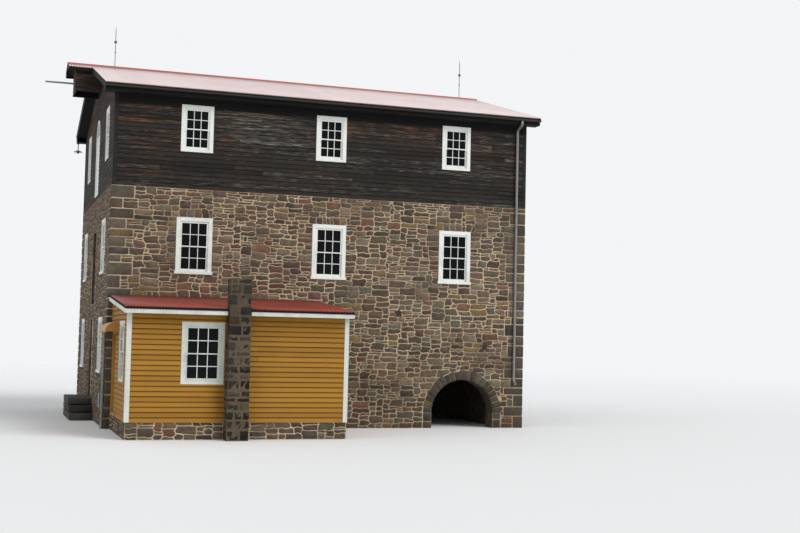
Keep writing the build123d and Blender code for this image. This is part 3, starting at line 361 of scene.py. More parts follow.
def rubble_stone(pile, place, outline, proud, rng, tint):
    """One face stone: a low dome over an outline, sunk a little into its mortar."""
    n = len(outline)
    us, vs = zip(*outline)
    cu, cv = (min(us) + max(us)) / 2, (min(vs) + max(vs)) / 2
    wide, high = max(us) - min(us), max(vs) - min(vs)
    tilt_u, tilt_v = rng.uniform(-0.03, 0.03), rng.uniform(-0.06, 0.06)
    seed = 10 * tint[0] + 7 * tint[1]
    rim = proud * rng.uniform(0.3, 0.6)
    points, grain, shares = [], [], []
    for back, depth, smear in ((0.0, -0.006, 1.0), (0.006, rim, 0.62), (0.022, proud, 0.0)):
        su, sv = max(0.4, 1 - 2 * back / wide), max(0.4, 1 - 2 * back / high)
        for u, v in outline:
            x, y = cu + (u - cu) * su, cv + (v - cv) * sv
            level = depth
            if smear < 1:
                level = max(depth + (x - cu) * tilt_u + (y - cv) * tilt_v + rng.uniform(-0.002, 0.002), 0.001)
            points.append(place(x, y, level))
            grain.append((x, y, seed))
            shares.append(smear)
    points.append(place(cu, cv, proud * 1.08))
    grain.append((cu, cv, seed))
    shares.append(0.0)
    faces = [(a + i, a + (i + 1) % n, a + n + (i + 1) % n, a + n + i) for a in (0, n) for i in range(n)]
    faces += [(2 * n + i, 2 * n + (i + 1) % n, 3 * n) for i in range(n)]
    pile.add(points, faces + [turned(range(n))], tint, grain, shares)


def rubble(pile, place, length, top, rng, holes=(), discs=(), ends=((), ()), heads=(), tinted=None):
    """Random rubble over a wall face, on a lattice whose uneven joints neighbours share."""
    columns, rows = round(length / CELL_U), round(top / CELL_V)
    du, dv = length / columns, top / rows
    waves = [(rng.uniform(0.6, 1.5), rng.uniform(0, 6.3), rng.uniform(0.15, 0.5)) for _ in range(3)]
    wander = [rng.uniform(-0.30, 0.30) * du for _ in range(rows + 1)]
    points = {}
    for c, r in product(range(columns + 1), range(rows + 1)):
        u, v = c * du, r * dv
        if 0 < r < rows:
            swell = sum(math.sin(f * u + p + g * v * 6.3) for f, p, g in waves) / 3
            v += 0.025 * swell * min(1.0, r / 4, (rows - r) / 4) + rng.uniform(-0.30, 0.30) * dv
        if 0 < c < columns:
            u += rng.uniform(-0.27, 0.27) * du + wander[r] * min(1.0, c / 4, (columns - c) / 4)
        points[c, r] = (u, v)
    taken = [[False] * columns for _ in range(rows)]
    for side, courses in enumerate(ends):
        for r0, r1, cells in courses:
            for r, i in product(range(r0, min(r1, rows) + 1), range(cells + 1)):
                c = i if side == 0 else columns - i
                points[c, r] = (c * du, r * dv)
                if i < cells and r < min(r1, rows):
                    taken[r][i if side == 0 else columns - 1 - i] = True
    stones = []
    for hole in holes:
        ua, ub, va, vb = hole
        ca, cb = max(0, round(ua / du)), min(columns, round(ub / du))
        ra, rb = max(0, round(va / dv)), min(rows, round(vb / dv))
        take(taken, ra, ca, rb - ra, cb - ca)
        for r, (c, u) in product(range(ra, rb + 1), ((ca, ua), (cb, ub))):
            if 0 < c < columns:
                points[c, r] = (u, points[c, r][1])
        for c, (r, v) in product(range(ca, cb + 1), ((ra, va), (rb, vb))):
            if 0 < r < rows:
                points[c, r] = (points[c, r][0], v)
        c = ca - 1
        while hole in heads and rb + 3 <= rows and c < cb + 1:
            end = min(cb + 1, c + rng.choice((1, 2, 2)))
            high = rng.choice((2, 3, 3))
            if not any(taken[rb + i][j] for i in range(high) for j in range(c, end)):
                take(taken, rb, c, high, end - c)
                stones.append((c, end, rb, rb + high))
            c = end
    for cells in stones + pack_stones(columns, rows, taken, rng):
        outline = clear_of_holes(stone_outline(points, cells, rng), holes, discs)
        if len(outline) < 4 or area(outline) < 0.003:
            continue
        tint = random_tint(rng)
        if tinted is not None:
            tint = tinted(*outline[0], tint, rng)
        rubble_stone(pile, place, outline, STONE_PROUD * rng.uniform(0.45, 1.15), rng, tint)


def corner_courses(rng, rows):
    """Courses of corner stones, long on one face and short on the other by turns."""
    courses, r, turn = [], 0, rng.choice((0, 1))
    while r < rows:
        high = min(rng.choice((3, 4, 4, 5)), rows - r)
        if rows - r - high == 1:
            high += 1
        reach = turned((rng.choice((5, 6)), rng.choice((3, 3, 4))), turn % 2)
        courses.append((r, r + high, *reach))
        r += high
        turn += 1
    return courses


# Lapped boards

def cut_cell(cell, hole):
    """What a hole leaves of a rectangle, as up to four smaller ones."""
    (a, b, c, d), (ha, hb, hc, hd) = cell, hole
    if a >= hb or b <= ha or c >= hd or d <= hc:
        return [cell]
    left, right = max(a, ha), min(b, hb)
    parts = ((a < ha, (a, ha, c, d)), (b > hb, (hb, b, c, d)),
             (c < hc, (left, right, c, hc)), (d > hd, (left, right, hd, d)))
    return [part for kept, part in parts if kept]


def lap_boards(pile, place, across, up, rng, exposure, thick, holes=(), clips=(), lengths=(2, 4),
               wander=0.002):
    """Boards that overlap downwards, cut round holes and trimmed by slanting lines."""
    (u0, u1), (v0, v1), (foot, head) = across, up, thick
    count = max(1, round((v1 - v0) / exposure))
    step = (v1 - v0) / count
    for k in range(count):
        low, high = v0 + k * step, v0 + (k + 1) * step
        u = u0
        while u < u1 - 1e-6:
            long = rng.uniform(*lengths)
            if u == u0:
                long *= rng.uniform(0.3, 1.0)
            end = u1 if u1 - (u + long) < 0.5 else u + long
            tint = random_tint(rng)
            drop, out = rng.uniform(-wander, wander), rng.uniform(0.0, wander)
            cells = [(u + 0.001, end - 0.001, low, high)]
            for hole in holes:
                cells = [part for cell in cells for part in cut_cell(cell, hole)]
            for a, b, c, d in cells:
                if b - a < 0.004 or d - c < 0.004:
                    continue
                bottom = c + drop if c == low else c
                shape = [(a, bottom), (b, bottom), (b, d), (a, d)]
                for line in clips:
                    shape = clip(shape, *line)
                if len(shape) < 3 or area(shape) < 1e-4:
                    continue
                # Each point's share of the board's height, 0 at its foot and 1 at its top, which the board
                # materials turn into painted shade under the lap above.
                shares = [(y - low) / step for x, y in shape]
                points = [place(x, y, foot + (head - foot) * s + out) for (x, y), s in zip(shape, shares)]
                points += [place(x, y, -0.002) for x, y in shape]
                grain = [(x, y, 10 * tint[0] + 7 * tint[1]) for x, y in shape]
                pile.add(points, prism_faces(len(shape)), tint, grain * 2, shares * 2)
            u = end


# Corrugated sheet: steps over one rib, rows up the slope, width of a sheet, height of a rib and thickness

RIB_STEPS, SHEET_ROWS, SHEET_WIDE, RIB_HIGH, SHEET_THICK = 8, 3, 0.66, 0.032, 0.0015


def corrugated(pile, x0, x1, low, high, pitch, rng):
    """Ribbed sheets between a low and a high edge given as (y, z), with a top layer and an underside."""
    count, rows = max(8, round((x1 - x0) / pitch)) * RIB_STEPS, SHEET_ROWS
    along = np.array(high) - np.array(low)
    normal = np.array((-along[1], along[0])) / math.hypot(*along)
    normal *= math.copysign(1.0, normal[1])
    columns = count + 1
    sheets = [random_tint(rng) for _ in range(int((x1 - x0) / SHEET_WIDE) + 2)]
    points, tints, shares = [], [], []
    # Side 0 is the top layer, with share 1; side 1 is the underside, with share 0, which the sheet material
    # paints dark as shade.
    for side, r, c in product((0, 1), range(rows + 1), range(columns)):
        x = x0 + (x1 - x0) * c / count
        wave = 0.5 * RIB_HIGH * (1 + math.cos(2 * math.pi * c / RIB_STEPS))
        points.append((x, *(low + along * r / rows + normal * (wave + 0.001 + SHEET_THICK * (1 - side)))))
        tints.append(sheets[int((x - x0) / SHEET_WIDE)])
        shares.append(1.0 - side)
    layer, up, top = columns * (rows + 1), columns, rows * columns
    faces = []
    for r, c in product(range(rows), range(count)):
        a = r * columns + c
        quad = (a, a + 1, a + 1 + up, a + up)
        faces += [quad, turned([layer + i for i in quad])]
    for a in range(count):
        b = top + a
        faces += [(a, a + layer, a + layer + 1, a + 1), (b, b + 1, b + layer + 1, b + layer)]
    for a in range(0, top, columns):
        b = a + count
        faces += [(a, a + up, a + up + layer, a + layer), (b, b + layer, b + up + layer, b + up)]
    pile.add(points, [turned(face, along[0] < 0) for face in faces], tints, None, shares)


def solid_boxes(node):
    """The box of each separate solid in a CAD node."""
    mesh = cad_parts[node].data
    co = np.array([v.co for v in mesh.vertices], float)
    keys, index = np.unique(np.round(co * 20000).astype(int), axis=0, return_inverse=True)
    index = index.ravel()
    root = list(range(len(keys)))

    def find(i):
        while root[i] != i:
            root[i] = root[root[i]]
            i = root[i]
        return i

    for polygon in mesh.polygons:
        first = find(index[polygon.vertices[0]])
        for v in polygon.vertices[1:]:
            root[find(index[v])] = first
    groups = {}
    for v in range(len(co)):
        groups.setdefault(find(index[v]), []).append(v)
    return [(co[g].min(0), co[g].max(0)) for g in groups.values()]


# Node trees

def srgb(*colour):
    """A colour given in 0 to 255 as a linear one, opaque."""
    shares = [c / 255 for c in colour]
    return (*(c / 12.92 if c <= 0.04045 else ((c + 0.055) / 1.055) ** 2.4 for c in shares), 1.0)


def scaled(colour, factor):
    return tuple(min(255, c * factor) for c in colour)


class Field:
    """A value that a node tree works out, with the usual arithmetic."""

    def __init__(self, nodes, socket):
        self.nodes, self.socket = nodes, socket

    def __add__(self, other):
        return self.nodes.math("ADD", self, other)

    def __sub__(self, other):
        return self.nodes.math("SUBTRACT", self, other)

    def __rsub__(self, other):
        return self.nodes.math("SUBTRACT", other, self)

    def __mul__(self, other):
        return self.nodes.math("MULTIPLY", self, other)

    def __truediv__(self, other):
        return self.nodes.math("DIVIDE", self, other)

    def __abs__(self):
        return self.nodes.math("ABSOLUTE", self)

    def above(self, floor, gain):
        """How far the value lies above a floor, times a gain, kept between 0 and 1."""
        return self.nodes.math("MULTIPLY", self - floor, gain, True)


class Nodes:
    """Short calls for building a node tree."""

    def __init__(self, tree):
        self.tree = tree

    def new(self, kind, **values):
        node = self.tree.nodes.new(kind)
        for key, value in values.items():
            if key in node.inputs:
                node.inputs[key].default_value = value
            else:
                setattr(node, key, value)
        return node

    def out(self, node, name=0):
        return Field(self, node.outputs[name])

    def plug(self, socket, value):
        """Links a field to a socket, or sets a number, a linear colour, or one given in 0 to 255."""
        if isinstance(value, Field):
            self.tree.links.new(value.socket, socket)
        else:
            socket.default_value = srgb(*value) if isinstance(value, tuple) and len(value) == 3 else value

    def fed(self, kind, feeds, name=0, **values):
        """The output of a new node whose inputs are fed by number or name."""
        node = self.new(kind, **values)
        for key, value in feeds.items():
            self.plug(node.inputs[key], value)
        return self.out(node, name)

    def coords(self, scale=(1, 1, 1), attribute=None, shift=0.0):
        source = self.out(self.new("ShaderNodeTexCoord"), "Object")
        if attribute:
            source = self.out(self.new("ShaderNodeAttribute", attribute_name=attribute), "Vector")
        return self.fed("ShaderNodeMapping", {"Vector": source}, Scale=scale, Location=(shift, 0, 0))

    def noise(self, coords, scale, detail=4.0, rough=0.55):
        return self.fed("ShaderNodeTexNoise", {"Vector": coords}, "Fac", Scale=scale, Detail=detail,
                        Roughness=rough)

    def ramp(self, value, stops, mode="LINEAR"):
        node = self.new("ShaderNodeValToRGB")
        node.color_ramp.interpolation = mode
        elements = node.color_ramp.elements
        while len(elements) < len(stops):
            elements.new(0.5)
        for element, (position, colour) in zip(elements, stops):
            element.position, element.color = position, colour
        self.plug(node.inputs["Fac"], value)
        return self.out(node, "Color")

    def colours(self, value, *stops):
        """Colours given in 0 to 255 that go with a value."""
        return self.ramp(value, [(position, srgb(*colour)) for position, colour in stops])

    def mix(self, factor, a, b, blend="MIX"):
        return self.fed("ShaderNodeMix", {0: factor, 6: a, 7: b}, 2, data_type="RGBA", blend_type=blend)

    def shade(self, colour, value, *stops, share=1.0):
        """Multiplies a colour by factors that go with a value: each stop is a position and its factors."""
        stops = [(position, (*(factors * (3 // len(factors))), 1.0)) for position, *factors in stops]
        return self.mix(share, colour, self.ramp(value, stops), "MULTIPLY")

    def math(self, operation, a, b=0.0, clamp=False):
        return self.fed("ShaderNodeMath", {0: a, 1: b}, operation=operation, use_clamp=clamp)

    def tint(self):
        tint = self.out(self.new("ShaderNodeAttribute", attribute_name="tint"), "Color")
        split = self.new("ShaderNodeSeparateColor")
        self.plug(split.inputs["Color"], tint)
        return [self.out(split, i) for i in range(3)]

    def share(self):
        """The value each point carries beside its tint: mortar smear on stones, and the mask for painted
        shade under laps and on the sheets' undersides.
        """
        return self.out(self.new("ShaderNodeAttribute", attribute_name="tint"), "Alpha")

    def axes(self):
        """The place in the frame, axis by axis."""
        split = self.new("ShaderNodeSeparateXYZ")
        self.plug(split.inputs[0], self.out(self.new("ShaderNodeTexCoord"), "Object"))
        return [self.out(split, i) for i in range(3)]

    def bump(self, height, strength, distance):
        return self.fed("ShaderNodeBump", {"Height": height}, Strength=strength, Distance=distance)


class Material(Nodes):
    def __init__(self, name):
        self.material = bpy.data.materials.new(name)
        self.material.use_nodes = True
        super().__init__(self.material.node_tree)
        self.shader = self.tree.nodes["Principled BSDF"]

    def done(self, colour, roughness, normal=None, **fixed):
        self.plug(self.shader.inputs["Base Color"], colour)
        self.plug(self.shader.inputs["Roughness"], roughness)
        if normal is not None:
            self.plug(self.shader.inputs["Normal"], normal)
        for key, value in fixed.items():
            self.shader.inputs[key.replace("_", " ")].default_value = value
        return self.material


# Materials: colours in 0 to 255

STONE_COLOURS = ((92, 78, 64), (102, 87, 72), (81, 69, 58), (95, 84, 73), (110, 95, 79), (86, 78, 68),
                 (98, 82, 70), (74, 63, 54), (106, 99, 87), (93, 89, 77), (117, 102, 86), (88, 75, 66),
                 (99, 82, 70), (84, 76, 68), (78, 70, 61), (104, 92, 78), (112, 93, 66), (106, 78, 62),
                 (96, 71, 62))
QUOIN_COLOURS = ((88, 81, 71), (74, 69, 61), (98, 88, 75), (83, 72, 62), (80, 76, 69), (68, 62, 55),
                 (99, 81, 56))
CHIMNEY_COLOURS = ((46, 39, 31), (68, 58, 45), (33, 28, 23), (58, 43, 33), (44, 41, 33), (78, 68, 54),
                   (27, 24, 20))
STEP_COLOURS = ((80, 77, 73), (92, 89, 84), (71, 68, 65), (100, 97, 92))
MORTAR_COLOUR = (194, 174, 145)
LICHEN, LICHEN_SHARE = (150, 150, 132), 0.20
# Height of the painted highlight line above the gutter's bottom
GUTTER_HIGHLIGHT = 0.020


def mortar_tone(m, colour):
    """Lime mortar: pale, with dirt in blotches and a sandy grain."""
    where = m.coords()
    dirt = m.colours(m.noise(where, 1.1, 6.0, 0.62), (0.32, scaled(colour, 0.66)), (0.55, colour),
                     (0.80, scaled(colour, 1.07)))
    fine = m.noise(where, 42.0, 5.0, 0.7)
    return m.shade(dirt, fine, (0.3, 0.50, 0.47, 0.43), (0.65, 1), share=0.32), fine


def grimed(m, colour):
    """Darker near the ground and a little under the boarded storey, in uneven drifts."""
    drift = (m.noise(m.coords(), 0.45, 4.0, 0.6) - 0.5) * 0.9
    return m.shade(colour, m.axes()[2] / STONE_TOP + drift, (0.02, 0.70, 0.69, 0.67),
                   (0.26, 0.84, 0.84, 0.83), (0.52, 1), (0.92, 0.90))


def stone_material(name, colours, mortar=MORTAR_COLOUR, spread=0.5, smear=0.55):
    """Hewn stone: a colour for each stone, bedding, mottling and mortar smeared over its rim."""
    m = Material(name)
    pick, light = m.tint()[:2]
    where = m.coords()
    mottle = m.noise(where, 9.0, 6.0, 0.65)
    base = m.ramp(pick, [(i / len(colours), srgb(*colour)) for i, colour in enumerate(colours)], "CONSTANT")
    colour = m.shade(base, mottle, (0.25, 0.60, 0.59, 0.58), (0.75, 1.34, 1.32, 1.30))
    beds = m.noise(m.coords((1.6, 26.0, 1.0), "grain"), 1.0, 4.0, 0.6)
    colour = m.shade(colour, beds, (0.35, 0.74, 0.72, 0.70), (0.65, 1.16, 1.15, 1.13), share=0.8)
    colour = m.mix(1.0, colour, light * spread + (1.02 - spread / 2), "MULTIPLY")
    lichen = m.ramp(m.noise(where, 2.3, 5.0, 0.6), [(0.60, (0, 0, 0, 1)), (0.74, (1, 1, 1, 1))])
    colour = m.mix(lichen * LICHEN_SHARE, colour, LICHEN)
    lime, fine = mortar_tone(m, mortar)
    ragged = m.noise(where, 5.0, 6.0, 0.7) * 0.9 + m.share() * smear
    colour = grimed(m, m.mix(ragged.above(0.80, 6.0), colour, lime))
    return m.done(colour, 0.92, m.bump(mottle * 0.7 + fine * 0.3, 0.6, 0.012), Specular_IOR_Level=0.3)


def mortar_material(name, colour=MORTAR_COLOUR, shaded=False):
    """Lime mortar on the faces of a wall; in its openings and inside it is dark rubble, darker than the face
    stones as painted shade.
    """
    m = Material(name)
    colour, fine = mortar_tone(m, colour)
    where = m.coords()
    if shaded:
        x, y, z = m.axes()
        gap_x = m.math("MINIMUM", x - X_WEST, X_EAST - x)
        gap_y = m.math("MINIMUM", y - Y_FRONT, Y_REAR - y)
        # In the openings and inside the wall: a rubble colour, partly the stone's own and partly painted
        # shade in these recesses.
        dark = m.colours(m.noise(where, 7.0, 5.0, 0.6), (0.35, (52, 45, 39)), (0.65, (96, 83, 70)))
        colour = m.mix(m.math("MINIMUM", gap_x, gap_y).above(0.010, 60.0), grimed(m, colour), dark)
    height = m.noise(where, 14.0) * 0.6 + fine * 0.4
    return m.done(colour, 0.95, m.bump(height, 0.7, 0.01), Specular_IOR_Level=0.2)


def board_material(name, dark, warm, pale, axis=None, warm_share=0.10, pale_share=0.08, regions=False,
                   white=None):
    """Weathered boards: streaks of bare and grey wood in a dark stain, or white below the stone's top, with
    painted shade under each lap.
    """
    m = Material(name)
    light, red, grey = m.tint()

    def streaky(length, width, detail=5.0, rough=0.66, shift=0.0):
        scale = [1 / length, 1 / width, 1.0]
        if axis is not None:
            scale = [1 / width] * 3
            scale[axis] = 1 / length
        return m.noise(m.coords(scale, "grain" if axis is None else None, shift), 1.0, detail, rough)

    streaks = streaky(0.55, 0.024)
    fibres = streaky(0.22, 0.006, 4.0, 0.6)
    warmth = streaks + red * 0.12 + m.noise(m.coords(), 0.5, 3.0, 0.6) * 0.25
    greyness = streaky(0.42, 0.020, shift=31.0) + grey * 0.12
    x, y, z = m.axes()
    if regions:
        high = z.above(7.5, 0.7)
        bare = (1.3 - abs(x + 5.3)).above(0.0, 0.9)
        bleached = (2.0 - abs(x + 2.0)).above(0.0, 0.8)
        warmth = warmth + bare * 0.06 + (high - 1.0) * 0.07
        greyness = greyness + bleached * high * 0.11
    colour = m.mix(warmth.above(0.84 - warm_share, 6.0), dark, warm)
    colour = m.mix(greyness.above(0.72 - pale_share, 6.0), colour, pale)
    colour = m.shade(colour, light * 0.45 + fibres * 0.55, (0.2, 0.42), (0.8, 1.52))
    # Painted shade: darker towards each board's top, in the shade under the lap of the board above.
    colour = m.shade(colour, m.share(), (0.72, 1), (0.97, 0.35))
    if white is not None:
        painted = m.mix(streaks.above(0.52, 3.0), white, scaled(white, 0.72))
        colour = m.mix(z.above(STONE_TOP - 1.0, 50.0), painted, colour)
    return m.done(colour, 0.9, m.bump(streaks * 0.5 + fibres * 0.5, 0.5, 0.006), Specular_IOR_Level=0.3)


def paint_material(name, colour, dirt, dirt_share=0.18):
    """Gloss paint on wood, a little chalky, with dirt in patches and faint brush marks."""
    m = Material(name)
    where = m.coords()
    fine = m.noise(where, 22.0, 6.0, 0.7)
    amount = (m.noise(where, 1.6, 6.0, 0.65) + fine * 0.5).above(0.92 - dirt_share, 1.6)
    return m.done(m.mix(amount, colour, dirt), 0.45, m.bump(fine, 0.15, 0.003))


def clapboard_material(name, colour, dirt):
    """Painted clapboards, each a little different, with painted shade along the lap above."""
    m = Material(name)
    streaks = m.noise(m.coords((0.7, 16.0, 1.0), "grain"), 1.0, 6.0, 0.65)
    tone = m.tint()[0] * 0.45 + streaks * 0.55
    base = m.shade(colour, tone, (0.2, 0.80, 0.79, 0.76), (0.8, 1.14, 1.14, 1.12))
    stain = (m.noise(m.coords(), 0.9, 4.0, 0.6) + streaks * 0.5).above(0.78, 1.6)
    # Dirt in patches, then painted shade towards each board's top, under the lap above.
    base = m.shade(m.mix(stain, base, dirt), m.share(), (0.66, 1), (0.93, 0.24, 0.20, 0.16))
    return m.done(base, 0.7, m.bump(streaks, 0.25, 0.003), Specular_IOR_Level=0.25)


def sheet_material(name, colour, faded, rust):
    """Painted roof sheet: faded by sheet, streaked down the slope, rusty in spots, with painted shade on its
    underside.
    """
    m = Material(name)
    where = m.coords()
    streaks = m.noise(m.coords((3.0, 0.35, 0.35)), 1.8, 6.0, 0.6)
    base = m.mix(m.math("ADD", streaks * 0.6, m.tint()[0] * 0.35, True), colour, faded)
    spots = (m.noise(where, 0.8, 5.0, 0.6) + m.noise(where, 12.0, 5.0) * 0.6).above(0.92, 3.0)
    # Painted shade: on the underside, where the share is 0, the colour is the rust's, darkened to a third.
    base = m.mix(m.share(), scaled(rust, 0.3), m.mix(spots, base, rust))
    return m.done(base, 0.5, m.bump(m.noise(where, 30.0), 0.12, 0.002), Metallic=0.1)


def metal_material(name, colour, worn, rough, metallic=0.3, share=0.2):
    """Painted or bare metal with patches worn to another colour."""
    m = Material(name)
    where = m.coords()
    amount = m.noise(where, 6.0, 7.0, 0.7).above(0.72 - share, 4.0)
    pitted = m.bump(m.noise(where, 50.0), 0.2, 0.002)
    return m.done(m.mix(amount, colour, worn), rough, pitted, Metallic=metallic)


def gutter_material(name):
    """Weathered gutter metal, dark as painted shade under the roof's edge, with a painted highlight line
    along the gutter's underside.
    """
    m = Material(name)
    wobble = m.noise(m.coords(), 3.0, 5.0, 0.6)
    # Painted highlight: a light line along the gutter's bottom, its top edge wobbling; the dark colour above
    # it is painted shade under the roof's edge.
    line = (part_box("gutters")[0].z + GUTTER_HIGHLIGHT - (m.axes()[2] + wobble * 0.008)).above(0.0, 160.0)
    return m.done(m.mix(line, (38, 38, 37), (186, 176, 171)), 0.6, m.bump(wobble, 0.1, 0.003), Metallic=0.1)


def glass_material(name):
    """Old panes: nearly black as painted shade of the dark room behind, with a slight ripple in the
    reflection.
    """
    m = Material(name)
    where = m.coords()
    # Painted shade: the panes' near-black colour, varied a little by noise, stands for the dark room behind
    # them.
    room_shade = m.colours(m.noise(where, 0.8), (0.3, (3, 5, 6)), (0.8, (10, 15, 16)))
    ripple = m.bump(m.noise(where, 2.3, 2.0, 0.5), 0.15, 0.02)
    return m.done(room_shade, 0.07, ripple, IOR=1.5, Alpha=0.97, Specular_IOR_Level=0.10)


WALL_STONE = stone_material("wall_stone", STONE_COLOURS)
QUOIN_STONE = stone_material("quoin_stone", QUOIN_COLOURS, spread=0.3)
CHIMNEY_STONE = stone_material("chimney_stone", CHIMNEY_COLOURS, (92, 82, 67), smear=0.18)
STEP_STONE = stone_material("step_stone", STEP_COLOURS, (96, 92, 84))
MORTAR = mortar_material("wall_mortar", shaded=True)
BASE_MORTAR = mortar_material("base_mortar")
DARK_MORTAR = mortar_material("chimney_mortar", (90, 80, 65))
DARK_BOARDS = board_material("dark_boards", (35, 31, 27), (110, 72, 48), (112, 112, 105), regions=True)
TRIM_X = board_material("trim_boards_x", (38, 36, 33), (52, 46, 40), (84, 82, 76), 0)
TRIM_Z = board_material("trim_boards_z", (72, 69, 65), (88, 80, 70), (122, 119, 112), 2, 0.2, 0.2,
                        white=(203, 206, 198))
ROOF_BOARDS = board_material("roof_boards", (84, 78, 66), (96, 86, 70), (118, 112, 98), 0, 0.2, 0.2)
FLOOR_WOOD = board_material("floor_wood", (98, 74, 50), (130, 98, 64), (140, 126, 108), 1, 0.3, 0.1)
RED_BOARDS = board_material("red_boards", (58, 28, 22), (96, 46, 32), (92, 74, 66))
WHITE = paint_material("white_paint", (222, 224, 218), (150, 150, 138))
ANNEX_WHITE = paint_material("annex_white_paint", (203, 206, 198), (124, 124, 114), 0.26)
YELLOW = clapboard_material("yellow_clapboards", (154, 109, 34), (106, 73, 28))
YELLOW_TRIM = paint_material("yellow_paint", (166, 120, 42), (116, 84, 36))
PINK_SHEET = sheet_material("main_roof_sheet", (222, 199, 198), (236, 222, 220), (172, 114, 104))
RIDGE_RED = sheet_material("ridge_sheet", (150, 60, 52), (176, 96, 84), (110, 50, 40))
RED_SHEET = sheet_material("annex_roof_sheet", (140, 58, 48), (160, 76, 62), (100, 44, 34))
PIPE_METAL = metal_material("downspout_metal", (128, 127, 122), (82, 77, 70), 0.5)
IRON = metal_material("iron", (44, 38, 36), (92, 52, 34), 0.7, 0.4, 0.26)
ROD_METAL = metal_material("rod_metal", (96, 98, 98), (70, 64, 58), 0.4, 0.7)
LAMP_GREY = metal_material("lamp_enamel", (84, 86, 88), (120, 116, 110), 0.4)
GUTTER_METAL = gutter_material("gutter_metal")
GLASS = glass_material("window_glass")

# The material of each node of the frame
NODE_LOOKS = {
    MORTAR: ("front_wall_lower", "front_wall_upper", "rear_wall_lower", "rear_wall_upper", "west_wall_south",
             "west_wall_north", "west_wall_upper", "east_wall"),
    BASE_MORTAR: ("annex_base",),
    TRIM_X: ("eave_boards", "bargeboards", "hoist_hood", "annex_roof", "timber_wall_front",
             "timber_wall_rear", "timber_gable_west", "timber_gable_east"),
    ROOF_BOARDS: ("roof_front_slope", "roof_rear_slope"),
    TRIM_Z: ("corner_boards",),
    FLOOR_WOOD: ("ground_floor", "second_floor", "third_floor", "annex_floor", "rafters", "collar_ties",
                 "ridge_board"),
    WHITE: ("front_windows", "rear_windows", "west_windows", "east_windows", "arched_door",
            "gable_door_frame"),
    ANNEX_WHITE: ("annex_windows", "annex_roof_boards"),
    RED_BOARDS: ("gable_door", "loading_door"),
    YELLOW_TRIM: ("annex_front_wall", "annex_west_wall", "annex_wall_over_door", "annex_east_wall",
                  "annex_door_frame", "annex_door", "annex_door_hood"),
    RIDGE_RED: ("ridge_cap",),
    STEP_STONE: ("entrance_steps", "gable_door_sill"),
    QUOIN_STONE: ("front_race_arch", "rear_race_arch"),
    GUTTER_METAL: ("gutters",),
    PIPE_METAL: ("downspouts", "corner_pipe", "hoist_pole"),
    IRON: ("wall_anchors",),
    ROD_METAL: ("lightning_rods",),
    LAMP_GREY: ("eave_lamp",),
    GLASS: ("window_glass",),
}


def dress_nodes():
    for material, nodes in NODE_LOOKS.items():
        for node in nodes:
            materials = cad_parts[node].data.materials
            materials.clear()
            materials.append(material)


# Faces of the walls

class Block:
    """The four upright faces of a box, each seen from outside."""

    def __init__(self, x0, y0, x1, y1):
        self.x0, self.y0, self.x1, self.y1 = x0, y0, x1, y1

    def place(self, side):
        """Turns a distance along a face, a height and a distance out into a point."""
        origin, along, out = {
            "front": ((self.x0, self.y0, 0), (1, 0, 0), (0, -1, 0)),
            "east": ((self.x1, self.y0, 0), (0, 1, 0), (1, 0, 0)),
            "rear": ((self.x1, self.y1, 0), (-1, 0, 0), (0, 1, 0)),
            "west": ((self.x0, self.y1, 0), (0, -1, 0), (-1, 0, 0)),
        }[side]
        origin, along, out = np.array(origin, float), np.array(along, float), np.array(out, float)
        return lambda u, v, w: origin + along * u + out * w + np.array((0, 0, v))

    def length(self, side):
        return self.x1 - self.x0 if side in ("front", "rear") else self.y1 - self.y0

    def span(self, side, low, high):
        """The stretch of a face that a box covers, along and up."""
        ends = {
            "front": (low[0] - self.x0, high[0] - self.x0),
            "east": (low[1] - self.y0, high[1] - self.y0),
            "rear": (self.x1 - high[0], self.x1 - low[0]),
            "west": (self.y1 - high[1], self.y1 - low[1]),
        }[side]
        return (*ends, low[2], high[2])


MILL = Block(X_WEST, Y_FRONT, X_EAST, Y_REAR)
SIDES = ("front", "east", "rear", "west")

# A solid wider and higher than this is a whole window
WINDOW_LEAST = (0.9, 1.3)


def window_frames(side):
    """Openings of the windows on one side, from the solids that span a whole window."""
    spans = [MILL.span(side, low, high) for low, high in solid_boxes(f"{side}_windows")]
    wide, high = WINDOW_LEAST
    return [hole for hole in spans if hole[1] - hole[0] > wide and hole[3] - hole[2] > high]


RACE_LOW, RACE_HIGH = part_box("front_race_arch")
RACE_OUTER = (RACE_HIGH.x - RACE_LOW.x) / 2

# The race arch: how deep its ring is, and how much room the face stones leave round it
RING_DEEP, RING_ROOM = 0.27, 0.012
RACE_RADIUS = RACE_OUTER - RING_DEEP
RACE_X = (RACE_HIGH.x + RACE_LOW.x) / 2
RACE_CENTRE = {"front": RACE_X - X_WEST, "rear": X_EAST - RACE_X}
RACE_SPRING = RACE_LOW.z
RACE_STONES = 21
JAMB_HIGH, JAMB_LEAST = (0.18, 0.30), 0.12

CORNERS = {}
for corner in ("front_west", "front_east", "rear_west", "rear_east"):
    CORNERS[corner] = corner_courses(random.Random(len(CORNERS) + 201), round(STONE_TOP / CELL_V))

# The corners at the two ends of each face
FACE_CORNERS = {"front": ("front_west", "front_east"), "rear": ("rear_east", "rear_west"),
                "east": ("front_east", "rear_east"), "west": ("rear_west", "front_west")}


